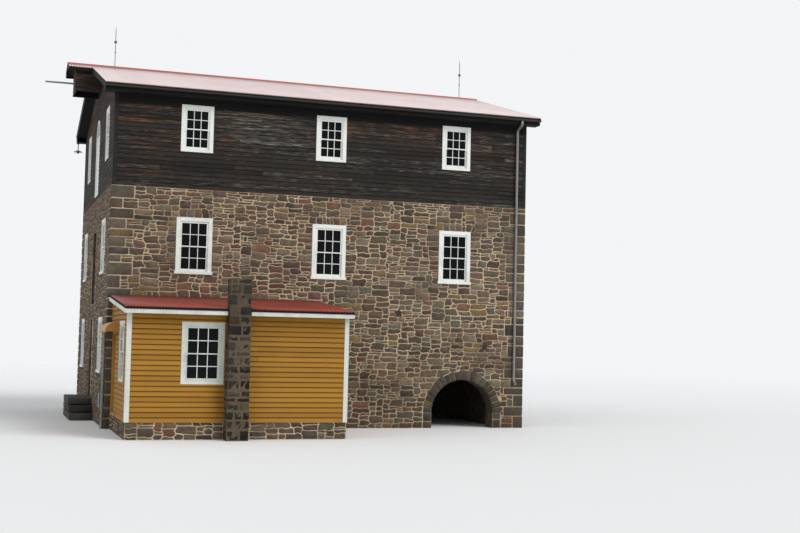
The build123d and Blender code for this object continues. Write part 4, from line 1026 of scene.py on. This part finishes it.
def make_walls():
    """Face stones on the four stone walls."""
    annex_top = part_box("annex_roof")[1]
    ear = 0.03

    def reddish(u, v, tint, rng):
        if annex_top.z - 0.4 < v < annex_top.z + 0.55 and u < annex_top.x - X_WEST and rng.random() < 0.45:
            return (rng.uniform(0.83, 0.99), tint[1], tint[2])
        return tint

    for number, side in enumerate(SIDES):
        rng = random.Random(100 + number)
        heads = [(ua + ear, ub - ear, va, vb) for ua, ub, va, vb in window_frames(side) if vb < STONE_TOP]
        holes, discs = list(heads), []
        if side == "front":
            wall = MILL.span(side, *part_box("annex_front_wall"))
            holes.append((wall[0] - 0.01, wall[1] + 0.01, 0.0, annex_top.z - 0.04))
        if side in RACE_CENTRE:
            centre, reach = RACE_CENTRE[side], RACE_OUTER + RING_ROOM
            holes.append((centre - reach, centre + reach, 0.0, RACE_SPRING))
            discs.append((centre, RACE_SPRING, reach))
        if side == "west":
            door = MILL.span(side, *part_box("gable_door_frame"))
            holes += [(door[0], door[1], 0.0, door[3]), MILL.span(side, *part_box("loading_door"))]
        reach_at = 2 if side in ("front", "rear") else 3
        ends = [[(*course[:2], course[reach_at]) for course in CORNERS[name]] for name in FACE_CORNERS[side]]
        pile = Pile()
        rubble(pile, MILL.place(side), MILL.length(side), STONE_TOP, rng, holes, discs, ends, heads,
               reddish if side == "front" else None)
        pile.make(f"{side}_face_stones", WALL_STONE, "wall_stone", smooth=True)


def make_quoins():
    """Large corner stones that show on both faces, long and short by turns."""
    pile = Pile()
    dv = STONE_TOP / round(STONE_TOP / CELL_V)
    du_x, du_y = (MILL.length(side) / round(MILL.length(side) / CELL_U) for side in ("front", "east"))
    proud, joint, redder_at = 0.016, 0.010, 5.5
    for name, courses in CORNERS.items():
        rng = random.Random(len(name) + 7)
        x, sx = (X_WEST, 1) if name.endswith("west") else (X_EAST, -1)
        y, sy = (Y_FRONT, 1) if name.startswith("front") else (Y_REAR, -1)
        for r0, r1, reach_x, reach_y in courses:
            low = (x - sx * proud, y - sy * proud, r0 * dv + joint * (r0 > 0))
            far = (x + sx * (reach_x * du_x - joint), y + sy * (reach_y * du_y - joint), r1 * dv - joint)
            a, b = np.minimum(low, far), np.maximum(low, far)
            tint = random_tint(rng)
            tint = (tint[0] * 0.85, tint[1], tint[2])
            if name == "front_west" and a[2] < redder_at < b[2]:
                tint = (0.95, 0.6, 0.5)
            rough_block(pile, between(a, b), b - a, rng, 0.02, 0.004, (5, 5, 4), tint)
    pile.make("corner_stones", QUOIN_STONE, "wall_stone", smooth=True)


def make_arches():
    """Hewn wedge and jamb stones round the race passages, over a ring of recessed mortar."""
    for side, centre in RACE_CENTRE.items():
        on_face = MILL.place(side)
        rng = random.Random(300 + len(side))
        pile, mortar = Pile(), Pile()

        def about(across, up, out, on_face=on_face, centre=centre):
            return on_face(centre + across, RACE_SPRING + up, out)

        step = math.pi / RACE_STONES
        for i in range(RACE_STONES):
            gap = (0.004 + rng.uniform(0, 0.002)) / RACE_RADIUS
            a0, a1 = i * step + gap, (i + 1) * step - gap
            outer, proud = RACE_OUTER + rng.uniform(-0.02, 0.035), rng.uniform(0.012, 0.026)

            def wedge(s, t, d):
                angle = a1 + (a0 - a1) * s
                radius = RACE_RADIUS + (outer - RACE_RADIUS) * t
                out = proud - (STONE_WALL + proud) * d
                return about(radius * math.cos(angle), radius * math.sin(angle), out)

            rough_block(pile, wedge, (step * RACE_RADIUS, outer - RACE_RADIUS, STONE_WALL), rng, 0.012, 0.003)
        for sign in (-1, 1):
            for foot, head in stretches(rng, 0.0, RACE_SPRING, JAMB_HIGH, JAMB_LEAST):
                near, far = sorted((sign * RACE_RADIUS, sign * (RACE_OUTER - rng.uniform(0.0, 0.012))))
                proud = rng.uniform(0.010, 0.022)

                def jamb(s, d, t):
                    height = foot + 0.005 + (head - foot - 0.010) * t
                    out = proud - (STONE_WALL + proud) * d
                    return about(near + (far - near) * s, height - RACE_SPRING, out)

                rough_block(pile, jamb, (far - near, STONE_WALL, head - foot), rng, 0.016, 0.004)
        inner, front, back = RACE_RADIUS + 0.012, -0.006, -STONE_WALL + 0.01
        half_hoop(mortar, about, ((inner, front), (RACE_OUTER, front), (RACE_OUTER, back), (inner, back)),
                  2 * RACE_STONES)
        stones = pile.make(f"{side}_arch_stones", QUOIN_STONE, "arch_stone", smooth=True)
        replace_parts(stones, f"{side}_race_arch")
        mortar.make(f"{side}_arch_mortar", MORTAR, "arch_stone")


BOARD_EXPOSURE, BOARD_THICK = 0.129, (0.020, 0.007)
BOARD_LENGTHS, BOARD_WANDER = (1.4, 4.2), 0.0035
HOOD_EXPOSURE, HOOD_THICK = 0.115, (0.016, 0.005)
BOARDS_UNDER_RIDGE = 0.06
ARCH_ROWS = 12


def gable_clips(half):
    """Lines that trim boards to both slopes of the roof, on a gable of a half width."""
    top = RIDGE_Z - BOARDS_UNDER_RIDGE
    return [(-ROOF_SLOPE, 1, top - ROOF_SLOPE * half), (ROOF_SLOPE, 1, top + ROOF_SLOPE * half)]


def make_boarded_storey():
    """Horizontal boards on the top storey, and on the sides of the hoist hood."""
    for number, side in enumerate(SIDES):
        on_face = MILL.place(side)
        holes, clips, top = window_frames(side), (), SOFFIT_Z
        if side in ("east", "west"):
            top, clips = RIDGE_Z - 0.1, gable_clips(MILL.length(side) / 2)
        if side == "west":
            ua, ub, va, vb = MILL.span(side, *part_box("arched_door"))
            radius, middle = (ub - ua) / 2, (ua + ub) / 2
            spring, rise = vb - radius, radius / ARCH_ROWS
            holes.append((ua, ub, va, spring))
            for k in range(ARCH_ROWS):
                wide = math.sqrt(radius * radius - (k * rise) ** 2)
                holes.append((middle - wide, middle + wide, spring + k * rise, spring + (k + 1) * rise))
        pile = Pile()
        across = (TIMBER_FACE, MILL.length(side) - TIMBER_FACE)
        lap_boards(pile, lambda u, v, w: on_face(u, v, w - TIMBER_FACE), across, (STONE_TOP, top),
                   random.Random(400 + number), BOARD_EXPOSURE, BOARD_THICK, holes, clips, BOARD_LENGTHS,
                   BOARD_WANDER)
        pile.make(f"{side}_boards", DARK_BOARDS, "dark_boards")

    low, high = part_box("hoist_hood")
    hood = Block(low.x, low.y, high.x, high.y)
    half = hood.length("west") / 2
    gable_top = RIDGE_Z - BOARDS_UNDER_RIDGE
    side_top = gable_top - ROOF_SLOPE * half
    rng = random.Random(450)
    pile = Pile()
    for side, top, clips in (("west", gable_top, gable_clips(half)), ("front", side_top, ()),
                             ("rear", side_top, ())):
        lap_boards(pile, hood.place(side), (0, hood.length(side)), (low.z, top), rng, HOOD_EXPOSURE,
                   HOOD_THICK, (), clips)
    pile.make("hood_boards", DARK_BOARDS, "dark_boards")


CORRUGATION, ANNEX_CORRUGATION = 0.0769, 0.0779
FRONT_PAST, REAR_PAST, ANNEX_PAST = 0.040, 0.010, 0.008
HOOD_HALF = 0.72
RIDGE_ROLL, RIDGE_REACH, RIDGE_METAL = 0.038, 0.17, 0.003
RIDGE_LIFT, ROLL_FOOT, ROLL_RISE, ROLL_STEPS = 0.003, 0.01, 0.004, 8

# How far the sheets stop short of the ridge or reach past an edge, and the gap between two fields of them
SHORT_OF_RIDGE, RAKE_PAST, HOOD_PAST, RIDGE_PAST, FIELD_GAP = 0.01, 0.02, 0.01, 0.012, 0.002


def make_main_roof():
    """Corrugated sheets on both slopes and on the hood, with a rolled ridge."""
    rng = random.Random(500)
    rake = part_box("eave_boards")[0].x - RAKE_PAST
    fields = ((rake, ROOF_HIGH.x, ROOF_RUN), (ROOF_LOW.x - HOOD_PAST, rake - FIELD_GAP, HOOD_HALF))
    for name, sy, past in (("front", -1, FRONT_PAST), ("rear", 1, REAR_PAST)):
        pile = Pile()
        ridge = (Y_RIDGE + sy * SHORT_OF_RIDGE, RIDGE_Z)
        for x0, x1, run in fields:
            low = (Y_RIDGE + sy * (run + past), RIDGE_Z - ROOF_SLOPE * (run + past))
            corrugated(pile, x0, x1, low, ridge, CORRUGATION, rng)
        pile.make(f"{name}_roof_sheets", PINK_SHEET, "roof_sheet", smooth=True)
    lift = RIB_HIGH + RIDGE_LIFT
    flat, rolled = (lift - ROOF_SLOPE * RIDGE_REACH, lift - ROOF_SLOPE * RIDGE_ROLL)
    profile = [(-RIDGE_REACH, flat), (-RIDGE_ROLL - ROLL_FOOT, rolled)]
    for k in range(ROLL_STEPS + 1):
        angle = math.pi * k / ROLL_STEPS
        profile.append((-RIDGE_ROLL * math.cos(angle), lift + ROLL_RISE + RIDGE_ROLL * math.sin(angle)))
    profile += [(RIDGE_ROLL + ROLL_FOOT, rolled), (RIDGE_REACH, flat)]
    outline = profile + [(y, z - RIDGE_METAL) for y, z in reversed(profile)]
    ends = (ROOF_LOW.x - RIDGE_PAST, ROOF_HIGH.x)
    points = [(x, Y_RIDGE + y, RIDGE_Z + z) for x in ends for y, z in outline]
    pile = Pile()
    # Shares of 1 keep the sheet material's painted underside shade off the ridge.
    pile.add(points, prism_faces(len(outline)), shares=[1.0] * len(points))
    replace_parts(pile.make("ridge_fold", RIDGE_RED, "ridge_sheet"), "ridge_cap")


def stack_ends():
    """The outline of the chimney at its foot and at its head."""
    points = np.array([v.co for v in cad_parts["annex_chimney"].data.vertices], float)
    top = points[:, 2].max()
    ends = []
    for level in (0.0, top):
        ring = points[abs(points[:, 2] - level) < 0.002]
        ends.append(np.array((ring[:, 0].min(), ring[:, 0].max(), ring[:, 1].min(), ring[:, 1].max())))
    return top, ends


STACK_TOP, STACK_ENDS = stack_ends()
CORE_RECESS = 0.018
COURSE_HIGH, COURSE_LEAST, TWO_STONES = (0.12, 0.30), 0.12, 0.72


def stack_at(z):
    """West, east, outer and inner limit of the chimney at a height."""
    return STACK_ENDS[0] + (STACK_ENDS[1] - STACK_ENDS[0]) * (z / STACK_TOP)


LAP_EXPOSURE, LAP_THICK, LAP_WANDER = 0.131, (0.024, 0.005), 0.0015
LAP_LENGTHS = {"front": (2.5, 5.0), "west": (2.0, 4.0), "east": (2.0, 4.0)}

# How far boards and base stones run on behind the chimney, and where its outline is taken for each
BEHIND_STACK, BASE_BEHIND_STACK, ABOVE_EAVE, BASE_LEVEL = 0.05, 0.02, 0.2, 0.2
STACK_CLEAR, ANNEX_RAKE_PAST, ANNEX_HEAD_GAP, ANNEX_WINDOW_LEAST = 0.024, 0.015, (0.004, 0.001), 1.4


def make_annex():
    """Clapboards, roof sheets and base stones of the annex."""
    low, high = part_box("annex_front_wall")
    base_low, base_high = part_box("annex_base")
    roof_low, roof_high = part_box("annex_roof")
    walls = Block(low.x, low.y, high.x, Y_FRONT)
    depth = walls.length("west")
    slope = (roof_high.z - roof_low.z - ANNEX_ROOF_THICK) / (roof_high.y - roof_low.y)
    behind = stack_at(0.5 * (low.z + high.z))
    hidden = (behind[0] + BEHIND_STACK - low.x, behind[1] - BEHIND_STACK - low.x, 0, high.z)
    holes = {"front": [hidden], "west": [], "east": []}
    for a, b in solid_boxes("annex_windows"):
        if b[2] - a[2] > ANNEX_WINDOW_LEAST:
            side = "front" if b[0] - a[0] > b[1] - a[1] else "west"
            holes[side].append(walls.span(side, a, b))
    holes["west"].append(walls.span("west", *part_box("annex_door_frame")))
    rng = random.Random(600)
    pile = Pile()
    top = roof_high.z - ANNEX_ROOF_THICK
    trims = {"front": (), "west": [(slope, 1, top)], "east": [(-slope, 1, top - slope * depth)]}
    for side, head in (("front", high.z), ("west", top), ("east", top)):
        lap_boards(pile, walls.place(side), (0, walls.length(side)), (low.z, head), rng, LAP_EXPOSURE,
                   LAP_THICK, holes[side], trims[side], LAP_LENGTHS[side], LAP_WANDER)
    pile.make("annex_clapboards", YELLOW, "yellow_boards")

    pile = Pile()
    west, east, outer, inner = stack_at(roof_low.z + ABOVE_EAVE)
    west, east = west - STACK_CLEAR, east + STACK_CLEAR
    eave = (roof_low.y - ANNEX_PAST, roof_low.z + ANNEX_ROOF_THICK - slope * ANNEX_PAST)
    ridge = (roof_high.y - ANNEX_HEAD_GAP[0], roof_high.z - ANNEX_HEAD_GAP[1])
    behind_stack = (inner, roof_high.z - slope * (roof_high.y - inner))
    for x0, x1, start in ((roof_low.x - ANNEX_RAKE_PAST, west, eave),
                          (east, roof_high.x + ANNEX_RAKE_PAST, eave),
                          (west + FIELD_GAP, east - FIELD_GAP, behind_stack)):
        corrugated(pile, x0, x1, start, ridge, ANNEX_CORRUGATION, rng)
    pile.make("annex_roof_sheets", RED_SHEET, "annex_roof_sheet", smooth=True)

    pile = Pile()
    rng = random.Random(620)
    base = Block(base_low.x, base_low.y, base_high.x, Y_FRONT)
    foot = stack_at(BASE_LEVEL)
    start, end = foot[0] - base_low.x + BASE_BEHIND_STACK, foot[1] - base_low.x - BASE_BEHIND_STACK
    front = ("front", base.length("front"), [(start, end, 0, base_high.z)])
    for side, length, gaps in (front, ("west", depth, ()), ("east", depth, ())):
        rubble(pile, base.place(side), length, base_high.z, rng, gaps)
    pile.make("annex_base_stones", WALL_STONE, "step_stone", smooth=True)


def make_chimney():
    """Irregular stones round the annex chimney in rough courses, over a recessed core of mortar."""
    rng = random.Random(704)
    pile = Pile()
    joint = 0.007
    for z, top in stretches(rng, 0.0, STACK_TOP, COURSE_HIGH, COURSE_LEAST):
        cuts = [0.0, rng.uniform(0.34, 0.66), 1.0] if rng.random() < TWO_STONES else [0.0, 0.33, 0.68, 1.0]
        deep = (rng.uniform(0.4, 0.6), rng.uniform(0.4, 0.6))
        spots = []
        for s0, s1 in zip(cuts, cuts[1:]):
            depth = deep[0] if s0 == 0 else deep[1] if s1 == 1 else 0.2
            spots.append((s0, s1, 0.0, depth, s0 == 0, s1 == 1))
        spots += [(0.0, 0.2, deep[0], 1.0, True, False), (0.8, 1.0, deep[1], 1.0, False, True)]
        for s0, s1, t0, t1, left, right in spots:
            inward = rng.uniform(0.001, 0.011)

            def place(a, b, c):
                level = z + joint + (top - z - 2 * joint) * c
                x0, x1, y0, y1 = stack_at(level)
                xa = x0 + (x1 - x0) * s0 + (inward if left else joint)
                xb = x0 + (x1 - x0) * s1 - (inward if right else joint)
                ya = y0 + (y1 - y0) * t0 + (inward if t0 == 0 else joint)
                yb = y0 + (y1 - y0) * t1 - (joint if t1 < 1 else 0.004)
                return np.array((xa + (xb - xa) * a, ya + (yb - ya) * b, level))

            rough_block(pile, place, np.abs(place(1, 1, 1) - place(0, 0, 0)), rng, 0.030, 0.008, (5, 5, 4))
    pile.make("chimney_stones", CHIMNEY_STONE, "chimney_stone", smooth=True)
    core, points = Pile(), []
    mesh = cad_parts["annex_chimney"].data
    for vertex in mesh.vertices:
        x, y, z = vertex.co
        west, east, outer, inner = stack_at(z)
        x += CORE_RECESS * (abs(x - west) < 0.004) - CORE_RECESS * (abs(x - east) < 0.004)
        y += CORE_RECESS * (abs(y - outer) < 0.004)
        points.append((x, y, z))
    core.add(points, [tuple(p.vertices) for p in mesh.polygons])
    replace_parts(core.make("chimney_core", DARK_MORTAR, "chimney_stone"), "annex_chimney")


BAR_WIDE, BAR_PROUD, BAR_CHAMFER = 0.022, 0.009, 0.004


def make_glazing_bars():
    """Bars that divide each sash into two rows of three panes."""
    pile = Pile()
    door_low, door_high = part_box("arched_door")
    for low, high in solid_boxes("window_glass"):
        thin = 0 if high[0] - low[0] < high[1] - low[1] else 1
        middle = (low + high) / 2
        if abs(middle[2] - door_high.z + 0.4) < 0.3 and low[0] < X_WEST + 0.3 and low[1] > door_low.y \
                and high[1] < door_high.y:
            fan_light(pile, low, high)
            continue
        for axis, share, proud in ((1 - thin, 1 / 3, BAR_PROUD), (1 - thin, 2 / 3, BAR_PROUD),
                                   (2, 1 / 2, BAR_PROUD - 0.001)):
            a, b = low.copy(), high.copy()
            at = low[axis] + (high[axis] - low[axis]) * share
            a[thin], b[thin] = low[thin] - proud, high[thin] + proud
            a[axis], b[axis] = at - BAR_WIDE / 2, at + BAR_WIDE / 2
            chamfered_box(pile, a, b, BAR_CHAMFER)
    pile.make("glazing_bars", WHITE, "white_paint")


def fan_light(pile, low, high):
    """Spokes and a hub in the half-round light over the arched door."""
    x, middle = (low[:2] + high[:2]) / 2
    foot, radius = low[2], (high[1] - low[1]) / 2
    half_thick, half_wide, hub = 0.012, 0.010, (0.09, 0.115)
    spoke_faces = ((0, 3, 2, 1), (4, 5, 6, 7), (0, 1, 5, 4), (1, 2, 6, 5), (2, 3, 7, 6), (3, 0, 4, 7))
    for angle in (math.radians(turn) for turn in (45, 90, 135)):
        points = []
        for w in (-half_thick, half_thick):
            for s, r in ((-half_wide, 0.10), (half_wide, 0.10), (half_wide, radius), (-half_wide, radius)):
                points.append((x + w, middle + r * math.cos(angle) - s * math.sin(angle),
                               foot + r * math.sin(angle) + s * math.cos(angle)))
        pile.add(points, spoke_faces)
    section = ((hub[0], -half_thick), (hub[1], -half_thick), (hub[1], half_thick), (hub[0], half_thick))
    half_hoop(pile, lambda across, up, out: (x + out, middle + across, foot + up), section, 12, over=True)


SLAB_WIDE, SLAB_LEAST = (0.35, 0.62), 0.2


def make_steps():
    """Worn slabs on courses of dark stone at the gable door."""
    low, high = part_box("entrance_steps")
    rng = random.Random(800)
    pile = Pile()
    riser, tread, joint = high.z / 3, 0.30, 0.004
    landing = low.y + 2 * tread
    for level, y0, y1 in ((3, landing, high.y), (2, landing - tread, landing), (1, low.y, low.y + tread)):
        for course in range(level):
            for y, end in stretches(rng, y0, y1, SLAB_WIDE, SLAB_LEAST):
                a = np.array((low.x - joint, y + joint, course * riser + joint))
                b = np.array((high.x, end - joint, (course + 1) * riser - joint))
                rough_block(pile, between(a, b), b - a, rng, 0.02, 0.005, (4, 4, 3))
    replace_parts(pile.make("step_stones", STEP_STONE, "step_stone", smooth=True), "entrance_steps")


# Stage: the floor's reach, the colours of its light and surround, and each lamp's turn, strength and spread

FLOOR_REACH = 140.0
SKY_LIGHT, SKY_STRENGTH = (0.93, 0.96, 1.0, 1), 0.62
SURROUND = (0.90, 0.91, 0.92, 1)
LAMPS = (("key", (52, 0, 38), 1.9, 35), ("fill", (60, 0, -60), 0.5, 60))


def make_stage():
    """A pale floor that fades out, a white surround and soft lamps."""
    scene = bpy.context.scene
    scene.view_settings.view_transform = "Standard"
    mesh = bpy.data.meshes.new("stage_floor")
    corners = [(x * FLOOR_REACH, y * FLOOR_REACH, -0.002) for x, y in ((-1, -1), (1, -1), (1, 1), (-1, 1))]
    mesh.from_pydata(corners, [], [(0, 1, 2, 3)])
    floor = bpy.data.objects.new("stage_floor", mesh)
    scene.collection.objects.link(floor)
    m = Material("stage_floor")
    m.done((0.80, 0.80, 0.79, 1), 0.9)
    place = m.out(m.new("ShaderNodeTexCoord"), "Object")
    away = m.fed("ShaderNodeVectorMath", {0: place}, "Value", operation="LENGTH") / FLOOR_REACH
    fade = m.ramp(away, [(0.16, (0, 0, 0, 1)), (0.62, (1, 1, 1, 1))], "EASE")
    clear = m.out(m.new("ShaderNodeBsdfTransparent"))
    surface = m.fed("ShaderNodeMixShader", {0: fade, 1: m.out(m.shader), 2: clear})
    m.plug(m.tree.nodes["Material Output"].inputs["Surface"], surface)
    mesh.materials.append(m.material)

    scene.world = bpy.data.worlds.new("surround")
    scene.world.use_nodes = True
    world = Nodes(scene.world.node_tree)
    world.tree.nodes.clear()
    light = world.out(world.new("ShaderNodeBackground", Color=SKY_LIGHT, Strength=SKY_STRENGTH))
    seen = world.out(world.new("ShaderNodeBackground", Color=SURROUND, Strength=1.0))
    path = world.new("ShaderNodeLightPath")
    rays = [world.out(path, f"Is {kind} Ray") for kind in ("Camera", "Glossy", "Transmission")]
    either = world.math("MAXIMUM", world.math("MAXIMUM", rays[0], rays[1]), rays[2])
    mixed = world.fed("ShaderNodeMixShader", {0: either, 1: light, 2: seen})
    world.plug(world.new("ShaderNodeOutputWorld").inputs[0], mixed)

    for name, turn, energy, angle in LAMPS:
        data = bpy.data.lights.new(name, "SUN")
        data.energy, data.angle = energy, math.radians(angle)
        lamp = bpy.data.objects.new(name, data)
        lamp.rotation_euler = [math.radians(a) for a in turn]
        scene.collection.objects.link(lamp)


make_camera()
dress_nodes()
make_walls()
make_quoins()
make_arches()
make_boarded_storey()
make_main_roof()
make_annex()
make_chimney()
make_glazing_bars()
make_steps()
make_stage()
